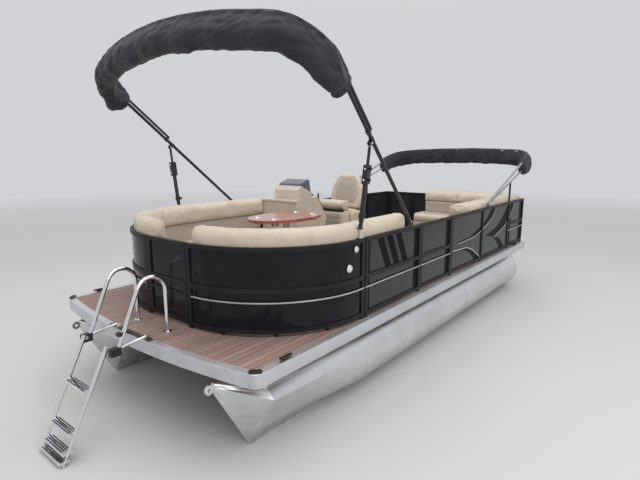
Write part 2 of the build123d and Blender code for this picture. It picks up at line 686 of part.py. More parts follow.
# The stern fence, from the gate to the port corner
stern_stations = (FENCE_STERN - RAIL, FENCE_STERN)
stern_first = STERN_GATE[1] + HINGE_GAP
stern_last = FENCE_SIDE - RAIL - SEAT_GAP
stern_posts = (stern_first, (stern_first + stern_last) / 2, stern_last - POST)
hinge_post = (-stern_last, STERN_GATE[0] - HINGE_GAP)
with BuildPart() as fence_stern:
    block(stern_stations, (stern_first, stern_last), rail_low)
    block(stern_stations, (stern_first, stern_last), rail_high)
    for post in stern_posts:
        block(stern_stations, (post, post + POST), (deck_top, up(RAIL_TOP)))
    for low, high in mid_rails:
        block((FENCE_STERN - MID_DEPTH, FENCE_STERN), (stern_first, stern_last), (up(low), up(high)))
    block(stern_stations, hinge_post, (deck_top, up(RAIL_TOP)))
    hinge_halves(GATES[2], -1, 0)
fence_stern.part.label = "fence_stern"
export_step(fence_stern.part, "parts/fence_stern.step")

# The flat panels between the posts of the side and stern fences
with BuildPart() as panels_flat:
    for side, start, end, posts, mids in SECTIONS:
        for first, last in zip(posts[:-1], posts[1:]):
            block((first + POST + SEAT_GAP, last - SEAT_GAP),
                  (side * (FENCE_SIDE - panel_inset - PANEL), side * (FENCE_SIDE - panel_inset)), panel_zs)
    for first, last in zip(stern_posts[:-1], stern_posts[1:]):
        block((FENCE_STERN - panel_inset - PANEL, FENCE_STERN - panel_inset),
              (first + POST + SEAT_GAP, last - SEAT_GAP), panel_zs)
panels_flat.part.label = "panels_flat"
export_step(panels_flat.part, "parts/panels_flat.step")

# Small round lights on the bow fence: station, height above the deck, radius
LIGHTS = ((1127, 466, 26), (1210, 610, 20))
LIGHT_PROUD = 16
with BuildPart() as docking_lights:
    for station, height, radius in LIGHTS:
        turn = 90 if station > BOW_X - curve_centre[0] else 90 - math.degrees(
            math.asin((BOW_X - curve_centre[0] - station) / FENCE_RADIUS))
        out = polar((0, 0), 1, turn)
        reach = FENCE_RADIUS - panel_inset + SEAT_GAP
        foot = polar(curve_centre, reach, turn)
        if turn == 90:
            foot = (BOW_X - station, foot[1])
        rod((foot[0], foot[1], up(height)),
            (foot[0] + LIGHT_PROUD * out[0], foot[1] + LIGHT_PROUD * out[1], up(height)), radius)
    mirror(about=Plane.XZ)
docking_lights.part.label = "docking_lights"
export_step(docking_lights.part, "parts/docking_lights.step")

# Seats that follow the bow fence: name, inset, depth, underside, top, corner radius
base_top = SEAT_HEIGHT - CUSHION
cushion_low = up(base_top + SEAT_GAP)
BOW_SEATS = (
    ("bow_seat_bases", BASE_INSET, BASE_DEPTH, deck_top, up(base_top), 3),
    ("bow_cushion", BASE_INSET + BOLSTER + SEAT_GAP, CUSHION_DEPTH, cushion_low, up(SEAT_HEIGHT), 34),
    ("bow_bolster", BASE_INSET, BOLSTER, cushion_low, up(BOW_BOLSTER_TOP), 50),
)
SEAT_FIRST = 2.5
SEAT_ENDS = (("port", PORT_SEAT_END), ("starboard", STARBOARD_SEAT_END))
for name, inset, depth, low, high, corner in BOW_SEATS:
    halves = []
    for word, end in SEAT_ENDS:
        middle = FENCE_RADIUS - inset - depth / 2
        foot = polar(curve_centre, middle, SEAT_FIRST)
        out = polar((0, 0), 1, SEAT_FIRST)
        with BuildPart() as half:
            with BuildSketch(Plane(origin=(foot[0], foot[1], (low + high) / 2), x_dir=(out[0], out[1], 0),
                                   z_dir=(out[1], -out[0], 0))):
                RectangleRounded(depth, high - low, corner)
            revolve(axis=curve_axis, revolution_arc=90 - SEAT_FIRST)
            with BuildSketch(Plane(origin=(curve_centre[0], curve_centre[1] + middle, (low + high) / 2),
                                   x_dir=(0, 1, 0), z_dir=(1, 0, 0))):
                RectangleRounded(depth, high - low, corner)
            extrude(amount=BOW_X - curve_centre[0] - end)
        halves.append(half.part if word == "port" else mirror(half.part, about=Plane.XZ))
    if name == "bow_seat_bases":
        with BuildPart() as bow_seat_bases:
            add(halves)
        bow_seat_bases.part.label = name
        export_step(bow_seat_bases.part, f"parts/{name}.step")
    else:
        for (word, end), half_seat in zip(SEAT_ENDS, halves):
            half_seat.label = f"{name}_{word}"
            export_step(half_seat, f"parts/{name}_{word}.step")

# The helm console: a moulded housing with a lip round its base, and a hood with rounded corners on it
CONSOLE_OUTLINE = ((2430, 0), (2430, 768), (2416, 782), (2416, 802), (2452, 812), (2724, 818), DASH_TOP,
                   DASH_FOOT, (2989, 440), (2960, 0), (2430, 0))
HOOD_FRONT = (2518, 980)
HOOD_BACK = (2694, 905)
HOOD_FOOT = (2724, 854)
HOOD_STATIONS = (2452, 2745)
HOOD_LOW = 800
HOOD_OUTLINE = ((HOOD_STATIONS[0], HOOD_LOW), (2458, 850), (2474, 930), HOOD_FRONT, HOOD_BACK, HOOD_FOOT,
                (HOOD_STATIONS[1], HOOD_LOW), (HOOD_STATIONS[0], HOOD_LOW))


def in_side_plane(outline):
    """The closed outline of a piece in its side plane, from stations and heights above the deck."""
    Polyline(*[side_point(*point) for point in outline])


with BuildPart() as hood:
    with BuildSketch(side_plane(HOOD_YS[1])):
        with BuildLine():
            in_side_plane(HOOD_OUTLINE)
        make_face()
    extrude(amount=HOOD_YS[1] - HOOD_YS[0])
    with BuildSketch(Plane.XY.offset(up(HOOD_LOW))):
        with Locations((BOW_X - (sum(HOOD_STATIONS) + HOOD_CORNER) / 2, sum(HOOD_YS) / 2)):
            RectangleRounded(HOOD_STATIONS[1] - HOOD_STATIONS[0] + HOOD_CORNER, HOOD_YS[1] - HOOD_YS[0],
                             HOOD_CORNER)
    extrude(amount=HOOD_FRONT[1] - HOOD_LOW, mode=Mode.INTERSECT)
with BuildPart() as helm_console:
    with BuildSketch(side_plane(CONSOLE_YS[1])):
        with BuildLine():
            in_side_plane(CONSOLE_OUTLINE)
        make_face()
    extrude(amount=CONSOLE_YS[1] - CONSOLE_YS[0])
    add(hood.part)
helm_console.part.label = "helm_console"
export_step(helm_console.part, "parts/helm_console.step")

# The pod of gauges, a wedge on the hood's slope that shows its back to the bow
POD_INSET = 35
POD_FRONT = 12
hood_fall = (HOOD_FRONT[1] - HOOD_BACK[1]) / (HOOD_BACK[0] - HOOD_FRONT[0])
pod_low = (HOOD_FRONT[0] + POD_FRONT, HOOD_FRONT[1] - POD_FRONT * hood_fall + 2 * SEAT_GAP)
POD_OUTLINE = (pod_low, (2547, 1003), (2693, 1056), (2712, 1048), (2745, 878), (2735, 868),
               (HOOD_BACK[0], HOOD_BACK[1] + 2 * SEAT_GAP), pod_low)
with BuildPart() as instrument_pod:
    with BuildSketch(side_plane(HOOD_YS[1] - POD_INSET)):
        with BuildLine():
            in_side_plane(POD_OUTLINE)
        make_face()
    extrude(amount=HOOD_YS[1] - HOOD_YS[0] - 2 * POD_INSET)
instrument_pod.part.label = "instrument_pod"
export_step(instrument_pod.part, "parts/instrument_pod.step")

# The steering wheel on its raked shaft, and the throttle beside it
tilt = math.atan2(DASH_FOOT[0] - DASH_TOP[0], DASH_TOP[1] - DASH_FOOT[1])
wheel_axis = Vector(-math.cos(tilt), 0, math.sin(tilt))


def on_dash(share, out):
    """A station and a height from a share of the way down the dash and a distance off it."""
    station = DASH_TOP[0] + (DASH_FOOT[0] - DASH_TOP[0]) * share + out * math.cos(tilt)
    height = DASH_TOP[1] + (DASH_FOOT[1] - DASH_TOP[1]) * share + out * math.sin(tilt)
    return (station, height)


dash_middle = Vector(*at(on_dash(0.5, 0)[0], sum(CONSOLE_YS) / 2, up(on_dash(0.5, 0)[1])))
wheel_centre = dash_middle + wheel_axis * WHEEL_STANDOFF
wheel_plane = Plane(origin=wheel_centre, x_dir=(0, 1, 0), z_dir=wheel_axis)
HUB_RADIUS = 42
HUB_DEPTH = 30
SHAFT_RADIUS = 20
SHAFT_BOOT = (45, 40)
SPOKE = (26, 8)
with BuildPart() as steering_wheel:
    with Locations(wheel_plane):
        Torus(WHEEL_RADIUS - WHEEL_RIM, WHEEL_RIM)
        Cylinder(HUB_RADIUS, HUB_DEPTH)
    for turn in (90, 210, 330):
        end = polar((0, 0), WHEEL_RADIUS - WHEEL_RIM, turn)
        with BuildSketch(wheel_plane.offset(-SPOKE[1] / 2)):
            with Locations(Location((end[0] / 2, end[1] / 2, 0), turn)):
                Rectangle(WHEEL_RADIUS - WHEEL_RIM, SPOKE[0])
        extrude(amount=SPOKE[1])
steering_wheel.part.label = "steering_wheel"
export_step(steering_wheel.part, "parts/steering_wheel.step")

# Throttle: where its housing starts and ends down the dash, its depth, its width, the lever's length
THROTTLE = (0.25, 0.65, 48, 70, 130)
THROTTLE_SIDE = 40
LEVER_RADIUS = 11
throttle_ys = (CONSOLE_YS[1] - THROTTLE_SIDE - THROTTLE[3], CONSOLE_YS[1] - THROTTLE_SIDE)
lever_foot = on_dash((THROTTLE[0] + THROTTLE[1]) / 2, THROTTLE[2] - 5)
with BuildPart() as helm_controls:
    start = dash_middle + wheel_axis * SEAT_GAP
    end = wheel_centre - wheel_axis * (HUB_DEPTH / 2 + 2 * SEAT_GAP)
    rod(tuple(start), tuple(end), SHAFT_RADIUS)
    rod(tuple(start), tuple(dash_middle + wheel_axis * SHAFT_BOOT[1]), SHAFT_BOOT[0])
    with BuildSketch(side_plane(throttle_ys[1])):
        with BuildLine():
            in_side_plane((on_dash(THROTTLE[0], SEAT_GAP), on_dash(THROTTLE[0] + 0.05, THROTTLE[2]),
                           on_dash(THROTTLE[1] - 0.05, THROTTLE[2]), on_dash(THROTTLE[1], SEAT_GAP),
                           on_dash(THROTTLE[0], SEAT_GAP)))
        make_face()
    extrude(amount=THROTTLE[3])
    rod(at(lever_foot[0], sum(throttle_ys) / 2, up(lever_foot[1])),
        at(lever_foot[0] - LEVER_RADIUS, sum(throttle_ys) / 2, up(lever_foot[1] + THROTTLE[4])), LEVER_RADIUS)
helm_controls.part.label = "helm_controls"
export_step(helm_controls.part, "parts/helm_controls.step")

# The captain's chair on its pedestal: all of it above the pedestal turns
chair_x, chair_y = BOW_X - CHAIR_PLACE[0], CHAIR_PLACE[1]
PEDESTAL_TOP = 290
PEDESTAL_RADIUS = 45
PEDESTAL_FOOT = (155, 12)
SLIDE_HALF = 150
SLIDE_HEIGHT = 40
with BuildPart() as chair_pedestal:
    with Locations((chair_x, chair_y, up(PEDESTAL_FOOT[1] / 2))):
        Cylinder(PEDESTAL_FOOT[0], PEDESTAL_FOOT[1])
    with Locations((chair_x, chair_y, up(PEDESTAL_TOP / 2))):
        Cylinder(PEDESTAL_RADIUS, PEDESTAL_TOP)
chair_pedestal.part.label = "chair_pedestal"
export_step(chair_pedestal.part, "parts/chair_pedestal.step")

chair_low = PEDESTAL_TOP + 2 * SEAT_GAP
with BuildPart() as chair_slide:
    block((CHAIR_PLACE[0] - SLIDE_HALF, CHAIR_PLACE[0] + SLIDE_HALF),
          (chair_y - SLIDE_HALF, chair_y + SLIDE_HALF), (up(chair_low), up(chair_low + SLIDE_HEIGHT)))
chair_slide.part.label = "chair_slide"
export_step(chair_slide.part, "parts/chair_slide.step")

# The seat has a fat roll along its front edge, which stands flipped up
seat_low = chair_low + SLIDE_HEIGHT + SEAT_GAP
CHAIR_SEAT_TOP = 612
CHAIR_STATIONS = (3240, 3660)
CHAIR_EDGE = 40
ROLL_PLACE = (3332, 676)
ROLL_RADIUS = 78
with BuildPart() as chair_seat:
    with BuildSketch(side_plane(chair_y + CHAIR_WIDTH / 2)):
        with Locations(side_point(sum(CHAIR_STATIONS) / 2, (seat_low + CHAIR_SEAT_TOP) / 2)):
            RectangleRounded(CHAIR_STATIONS[1] - CHAIR_STATIONS[0], CHAIR_SEAT_TOP - seat_low, CHAIR_EDGE)
        with Locations(side_point(*ROLL_PLACE)):
            Circle(ROLL_RADIUS)
    extrude(amount=CHAIR_WIDTH)
chair_seat.part.label = "chair_seat"
export_step(chair_seat.part, "parts/chair_seat.step")

# The back is a leaning shell, broad at the seat and narrow at its top
CHAIR_LEAN = 8
CHAIR_BACK_DEPTH = 95
CHAIR_BACK_EDGE = 52
CHAIR_BACK_DROP = 1.2
# Outline of the back: half width, height above the seat
BACK_OUTLINE = ((235, 0), (285, 130), (262, 290), (190, 430), (135, 490))
lean_back = math.radians(CHAIR_LEAN)
back_low = CHAIR_SEAT_TOP + SEAT_GAP - CHAIR_BACK_DROP
back_plane = Plane(origin=at(CHAIR_STATIONS[1] - 30, chair_y, up(back_low)), x_dir=(0, 1, 0),
                   z_dir=(-math.cos(lean_back), 0, -math.sin(lean_back)))
back_points = [(half, -rise) for half, rise in BACK_OUTLINE]
back_points += [(-half, -rise) for half, rise in reversed(BACK_OUTLINE)]
with BuildPart() as chair_back:
    with BuildSketch(back_plane):
        with BuildLine():
            Polyline(*back_points, back_points[0])
        make_face()
        fillet([corner for corner in vertices() if corner.Y < -5], CHAIR_BACK_EDGE)
    extrude(amount=CHAIR_BACK_DEPTH)
chair_back.part.label = "chair_back"
export_step(chair_back.part, "parts/chair_back.step")

# Wings beside the seat, which carry the arms' padding back to the shell
WING = 52
WING_GAP = 8
WING_OUTLINE = ((3390, 425), (3372, 470), (3372, 560), (3400, 606), (3600, 606), (3600, 425), (3390, 425))
bracket = (CHAIR_PLACE[0] - 25, CHAIR_PLACE[0] + 25)
with BuildPart() as chair_arms:
    for side in SIDES:
        inner = chair_y + side * (CHAIR_WIDTH / 2 + WING_GAP)
        outer = inner + side * WING
        with BuildSketch(side_plane(max(inner, outer))):
            with BuildLine():
                in_side_plane(WING_OUTLINE)
            make_face()
        extrude(amount=WING)
        block(bracket, (chair_y + side * (SLIDE_HALF + SEAT_GAP), outer - side * 10),
              (up(chair_low + 5), up(chair_low + SLIDE_HEIGHT - 5)))
        block(bracket, (inner + side * 5, outer - side * 10),
              (up(chair_low + 5), up(WING_OUTLINE[0][1] + 10)))
chair_arms.part.label = "chair_arms"
export_step(chair_arms.part, "parts/chair_arms.step")

# The oval table with its cup holders, on a pedestal
table_x, table_y = BOW_X - TABLE_PLACE[0], TABLE_PLACE[1]
CUP_PLACES = ((300, 120), (300, -120), (-300, 120), (-300, -120))
table_low = up(TABLE_TOP - TABLE_THICK)
with BuildPart() as table_top:
    with BuildSketch(Plane.XY.offset(table_low)):
        with Locations((table_x, table_y)):
            Ellipse(TABLE_SIZE[0] / 2, TABLE_SIZE[1] / 2)
    extrude(amount=TABLE_THICK)
    for dx, dy in CUP_PLACES:
        with Locations((table_x + dx, table_y + dy, up(TABLE_TOP) - CUP_DEPTH / 2)):
            Cylinder(CUP_RADIUS + CUP_WALL, CUP_DEPTH)
        with Locations((table_x + dx, table_y + dy, up(TABLE_TOP) - CUP_DEPTH / 2 + CUP_WALL)):
            Cylinder(CUP_RADIUS, CUP_DEPTH, mode=Mode.SUBTRACT)
table_top.part.label = "table_top"
export_step(table_top.part, "parts/table_top.step")

TABLE_FOOT = (150, 10)
TABLE_POST = 36
with BuildPart() as table_pedestal:
    with Locations((table_x, table_y, up(TABLE_FOOT[1] / 2))):
        Cylinder(TABLE_FOOT[0], TABLE_FOOT[1])
    with Locations((table_x, table_y, (deck_top + table_low - SEAT_GAP) / 2)):
        Cylinder(TABLE_POST, table_low - SEAT_GAP - deck_top)
table_pedestal.part.label = "table_pedestal"
export_step(table_pedestal.part, "parts/table_pedestal.step")

# The stern lounge: a run of seats along the port side and a bench across, with their backs
CUSHION_GAP = 3
RUN_GAP = 18
run_outer = FENCE_SIDE - RAIL - RUN_GAP
run_inner = run_outer - STERN_RUN_DEPTH
back_inner = run_outer - STERN_BACK_DEPTH
with BuildPart() as stern_seat_base:
    block((STERN_RUN_START, STERN_BENCH_END), (run_inner, run_outer), (deck_top, up(base_top)))
    block((STERN_BENCH_START, STERN_BENCH_END), (STERN_BENCH_SIDE, run_inner), (deck_top, up(base_top)))
stern_seat_base.part.label = "stern_seat_base"
export_step(stern_seat_base.part, "parts/stern_seat_base.step")

with BuildPart() as stern_seat_cushions:
    block((STERN_RUN_START, STERN_BENCH_START - CUSHION_GAP), (run_inner, back_inner - SEAT_GAP),
          (cushion_low, up(SEAT_HEIGHT)))
    block((STERN_BENCH_START, STERN_BACK_START - SEAT_GAP), (STERN_BENCH_SIDE, back_inner - SEAT_GAP),
          (cushion_low, up(SEAT_HEIGHT)))
stern_seat_cushions.part.label = "stern_seat_cushions"
export_step(stern_seat_cushions.part, "parts/stern_seat_cushions.step")

with BuildPart() as stern_back_cushions:
    block((STERN_RUN_START, STERN_BENCH_END), (back_inner, run_outer), (cushion_low, up(SIDE_BOLSTER_TOP)))
    block((STERN_BACK_START, STERN_BENCH_END), (STERN_BENCH_SIDE, back_inner - SEAT_GAP),
          (cushion_low, up(STERN_BOLSTER_TOP)))
stern_back_cushions.part.label = "stern_back_cushions"
export_step(stern_back_cushions.part, "parts/stern_back_cushions.step")

# Biminis. Each bow is one tube bent in its own plane: x runs to port, y runs along its legs from the pivot
pivot_z = up(PIVOT_HEIGHT)
EYE_REACH = 26
EYE_RADIUS = 15
EYE_PLATE = 12
PIN_RADIUS = 5
CHEEK_GAP = 1
CHEEK = 5
CHEEK_RADIUS = 16
MOUNT_BASE = (60, 28, 8)


def leg_plane(station, angle, way, offset=0):
    """The plane of a bow that leans forward (way 1) or aft (way -1), shifted to its upper side."""
    lean = math.radians(angle)
    along = Vector(way * math.cos(lean), 0, math.sin(lean))
    above = Vector(-way * math.sin(lean), 0, math.cos(lean)) * offset
    foot = Vector(*at(station, 0, pivot_z)) + above
    return Plane(origin=foot, x_dir=(0, 1, 0), z_dir=Vector(0, 1, 0).cross(along))


def on_leg(arch, reach, side=1):
    """A point of an arch's leg in its own plane, from its distance to the pivot."""
    splay = math.radians(arch[0])
    return (side * (BIMINI_Y + reach * math.sin(splay)), reach * math.cos(splay))


def in_space(plane, point):
    """A point in space from its place on a bow's plane."""
    return plane.from_local_coords((point[0], point[1], 0))


def to_side(point, side):
    """A point or a direction on the port side, or its mirror image to starboard."""
    return Vector(point.X, side * point.Y, point.Z)


def arch_line(arch, start):
    """The centre line of a bow from its port leg over to its starboard leg."""
    splay, reach, crown, radius = arch
    lean_out = math.radians(splay)
    way = (math.sin(lean_out), math.cos(lean_out))
    centre_v = reach - crown
    # The corner's centre is a radius inside the leg, and the crown's arc meets the corner's end
    near = (BIMINI_Y - radius * way[1], radius * way[0] - centre_v)
    along = near[0] * way[0] + near[1] * way[1]
    run = math.sqrt(along ** 2 - near[0] ** 2 - near[1] ** 2 + (crown - radius) ** 2) - along
    corner = (near[0] + way[0] * run, near[1] + way[1] * run + centre_v)
    turn = math.degrees(math.atan2(corner[1] - centre_v, corner[0]))
    first = polar(corner, radius, -splay)
    half = polar(corner, radius, (turn - splay) / 2)
    last = polar(corner, radius, turn)
    Line(on_leg(arch, start), first)
    ThreePointArc(first, half, last)
    ThreePointArc(last, (0, reach), (-last[0], last[1]))
    ThreePointArc((-last[0], last[1]), (-half[0], half[1]), (-first[0], first[1]))
    Line((-first[0], first[1]), on_leg(arch, start, -1))


front_plane = leg_plane(FRONT_PIVOT, FRONT_ANGLE, 1)
front_boot_plane = leg_plane(FRONT_PIVOT, FRONT_ANGLE, 1, FRONT_BOOT_OFFSET)
second_plane = leg_plane(FRONT_PIVOT, FRONT_ANGLE, 1, SECOND_OFFSET)
rear_plane = leg_plane(REAR_PIVOT, REAR_ANGLE, -1)
rear_boot_plane = leg_plane(REAR_PIVOT, REAR_BOOT_ANGLE, -1)

# The front struts: a tube on the rail, and a rod in it that reaches the jaw under the bow
# The legs splay, so a strut swings about a tilted pin: its plane holds the jaw's pin at both ends of the fold
JAW_SLEEVE = (19, 50)
JAW_GAP = 8
JAW_CHEEK = 5
JAW_LIP = 6
STRUT_EYE = 8
STRUT_EYE_PLATE = 10
STRUT_NECK = 30
ROD_START = 70
BORE_START = 55
jaw_on_leg = on_leg(FRONT_ARCH, STRUT_JAW_REACH)
jaw_middle = in_space(front_plane, jaw_on_leg)
jaw_under = Vector(math.sin(math.radians(FRONT_ANGLE)), 0, -math.cos(math.radians(FRONT_ANGLE)))
jaw_pin = jaw_middle + jaw_under * STRUT_JAW_DROP
raised_pin = in_space(leg_plane(FRONT_PIVOT, FRONT_ANGLE + FRONT_FOLD, 1, -STRUT_JAW_DROP), jaw_on_leg)
strut_foot = Vector(*at(STRUT_FOOT[0], BIMINI_Y, up(STRUT_FOOT[1])))
strut_along = (jaw_pin - strut_foot).normalized()
strut_length = (jaw_pin - strut_foot).length
strut_pin = (jaw_pin - strut_foot).cross(raised_pin - strut_foot).normalized()


def along_strut(distance):
    """A point on the port strut's axis from its distance to the foot's pin."""
    return strut_foot + strut_along * distance


def strut_frame(distance):
    """The strut's own plane at a distance from its foot's pin: x runs up the strut, z runs along the pin."""
    return Plane(origin=along_strut(distance), x_dir=strut_along, z_dir=strut_pin)


# Bows: name, plane, pivot station, arch
BOWS = (
    ("front_bimini_bow", front_plane, FRONT_PIVOT, FRONT_ARCH),
    ("rear_bimini_bow", rear_plane, REAR_PIVOT, REAR_ARCH),
)
for name, plane, station, arch in BOWS:
    with BuildPart() as bow:
        with BuildLine(plane) as path:
            arch_line(arch, EYE_REACH)
        with BuildSketch(Plane(origin=path.line @ 0, z_dir=path.line % 0)):
            Circle(BOW_TUBE / 2)
        sweep()
        for side in SIDES:
            pivot = in_space(plane, (side * BIMINI_Y, 0))
            neck = in_space(plane, (side * BIMINI_Y, (EYE_REACH + 4) / 2))
            with Locations(Plane(origin=pivot, x_dir=plane.y_dir, z_dir=(0, 1, 0))):
                Cylinder(EYE_RADIUS, EYE_PLATE)
            with Locations(Plane(origin=neck, x_dir=plane.y_dir, z_dir=(0, 1, 0))):
                Box(EYE_REACH + 4, 2 * EYE_RADIUS, EYE_PLATE)
            with Locations(Plane(origin=pivot, x_dir=plane.y_dir, z_dir=(0, 1, 0))):
                Cylinder(PIN_RADIUS + SEAT_GAP, 2 * EYE_PLATE, mode=Mode.SUBTRACT)
            if station == FRONT_PIVOT:
                low = in_space(plane, on_leg(arch, STRUT_JAW_REACH - JAW_SLEEVE[1] / 2, side))
                high = in_space(plane, on_leg(arch, STRUT_JAW_REACH + JAW_SLEEVE[1] / 2, side))
                rod(tuple(low), tuple(high), JAW_SLEEVE[0])
                for cheek in SIDES:
                    offset = cheek * (STRUT_EYE_PLATE / 2 + JAW_GAP + JAW_CHEEK / 2)
                    middle = to_side(jaw_middle, side) + Vector(0, offset, 0)
                    reach = STRUT_JAW_DROP + STRUT_EYE + JAW_LIP
                    middle += jaw_under * (reach / 2)
                    with Locations(Plane(origin=middle, x_dir=jaw_under, z_dir=(0, 1, 0))):
                        Box(reach, 2 * (STRUT_EYE + JAW_LIP), JAW_CHEEK)
    bow.part.label = name
    export_step(bow.part, f"parts/{name}.step")

# The second bows show only below the boots: a straight tube on each side, with a clip on the main leg
CLIP_WALL = 5
CLIP_LENGTH = 36
CLIP_NECK = 12
SECOND_RUN = 670
REAR_SECOND_LENGTH = 1600
second_lean = math.radians(REAR_SECOND_ANGLE)
second_along = Vector(-math.cos(second_lean), 0, math.sin(second_lean))
rear_second_foot = Vector(*at(REAR_SECOND_FOOT[0], BIMINI_Y, up(REAR_SECOND_FOOT[1])))
rear_clip = (REAR_SECOND_FOOT[0] - REAR_PIVOT) / math.cos(math.radians(REAR_ANGLE))
front_second_ends = (in_space(second_plane, on_leg(FRONT_ARCH, SECOND_START)),
                     in_space(second_plane, on_leg(FRONT_ARCH, SECOND_START + SECOND_RUN)))
rear_second_ends = (rear_second_foot, rear_second_foot + second_along * REAR_SECOND_LENGTH)
# Second bows: name, plane of the main leg, arch, clip's reach along the leg, ends of the tube
SECONDS = (
    ("front_second_bow", front_plane, FRONT_ARCH, SECOND_START + 15, front_second_ends),
    ("rear_second_bow", rear_plane, REAR_ARCH, rear_clip, rear_second_ends),
)
for name, plane, arch, reach, ends in SECONDS:
    with BuildPart() as second:
        for side in SIDES:
            low, high = to_side(ends[0], side), to_side(ends[1], side)
            steps = (0, -CLIP_LENGTH / 2, CLIP_LENGTH / 2, -3 * CLIP_LENGTH, 3 * CLIP_LENGTH)
            places = [tuple(in_space(plane, on_leg(arch, reach + step, side))) for step in steps]
            rod(tuple(low), tuple(high), SECOND_TUBE / 2)
            rod(places[1], places[2], BOW_TUBE / 2 + CLIP_WALL)
            rod(places[0], tuple(low + (high - low).normalized() * CLIP_NECK), CLIP_NECK)
            rod(places[3], places[4], BOW_TUBE / 2 + SEAT_GAP, Mode.SUBTRACT)
    second.part.label = name
    export_step(second.part, f"parts/{name}.step")

# The boots: the folded canopies in their zipped covers, round the arches of the bows
# Boots: name, plane, bow's plane, arch, size, ends of the second tubes
BOOTS = (
    ("front_bimini_boot", front_boot_plane, front_plane, FRONT_ARCH, FRONT_BOOT, front_second_ends),
    ("rear_bimini_boot", rear_boot_plane, rear_plane, REAR_ARCH, REAR_BOOT, rear_second_ends),
)
bore_sides = BOOT_SIDES / 2
for name, plane, bow_plane, arch, size, ends in BOOTS:
    outline = []
    for i in range(BOOT_SIDES + 1):
        turn = 2 * math.pi * i / BOOT_SIDES
        outline.append((size[1] / 2 * math.cos(turn), size[2] / 2 * math.sin(turn)))
    with BuildPart() as boot:
        with BuildLine(plane) as path:
            arch_line(arch, size[0])
        start = path.line % 0
        with BuildSketch(Plane(origin=path.line @ 0, x_dir=start.cross(plane.z_dir), z_dir=start)):
            with BuildLine():
                Polyline(*outline)
            make_face()
        sweep()
        with BuildLine(bow_plane) as path:
            arch_line(arch, size[0] - 200)
        with BuildSketch(Plane(origin=path.line @ 0, z_dir=path.line % 0)):
            RegularPolygon((BOW_TUBE / 2 + SEAT_GAP) / math.cos(math.pi / bore_sides), int(bore_sides))
        sweep(mode=Mode.SUBTRACT)
        for side in SIDES:
            low = to_side(ends[0], side)
            over = to_side(ends[1] + (ends[1] - ends[0]).normalized(), side)
            rod(tuple(low), tuple(over), SECOND_TUBE / 2 + SEAT_GAP, Mode.SUBTRACT)
    boot.part.label = name
    export_step(boot.part, f"parts/{name}.step")

# The strut's tube carries a clamp block at its top, and an eye at its foot
with BuildPart() as strut_tube:
    rod(tuple(along_strut(20)), tuple(along_strut(STRUT_TOP)), STRUT_TUBE / 2)
    with Locations(strut_frame(STRUT_TOP - STRUT_BLOCK[0] / 2)):
        Box(STRUT_BLOCK[0], STRUT_BLOCK[2], STRUT_BLOCK[1])
    with Locations(strut_frame(0)):
        Cylinder(EYE_RADIUS, EYE_PLATE)
    with Locations(strut_frame(12)):
        Box(24, 2 * EYE_RADIUS, EYE_PLATE)
    with Locations(strut_frame(0)):
        Cylinder(PIN_RADIUS + SEAT_GAP, 2 * EYE_PLATE, mode=Mode.SUBTRACT)
    rod(tuple(along_strut(BORE_START)), tuple(along_strut(STRUT_TOP + 10)), STRUT_ROD / 2 + SEAT_GAP,
        Mode.SUBTRACT)
with BuildPart() as strut_rod:
    rod(tuple(along_strut(ROD_START)), tuple(along_strut(strut_length - STRUT_NECK)), STRUT_ROD / 2)
    with Locations(strut_frame(strut_length)):
        Cylinder(STRUT_EYE, STRUT_EYE_PLATE)
    with Locations(strut_frame(strut_length - STRUT_NECK / 2 - 2)):
        Box(STRUT_NECK + 4, 2 * STRUT_EYE, STRUT_EYE_PLATE)
for piece, name in ((strut_tube.part, "front_strut_tube"), (strut_rod.part, "front_strut_rod")):
    for word in ("port", "starboard"):
        own = piece if word == "port" else mirror(piece, about=Plane.XZ)
        own.label = f"{name}_{word}"
        export_step(own, f"parts/{name}_{word}.step")

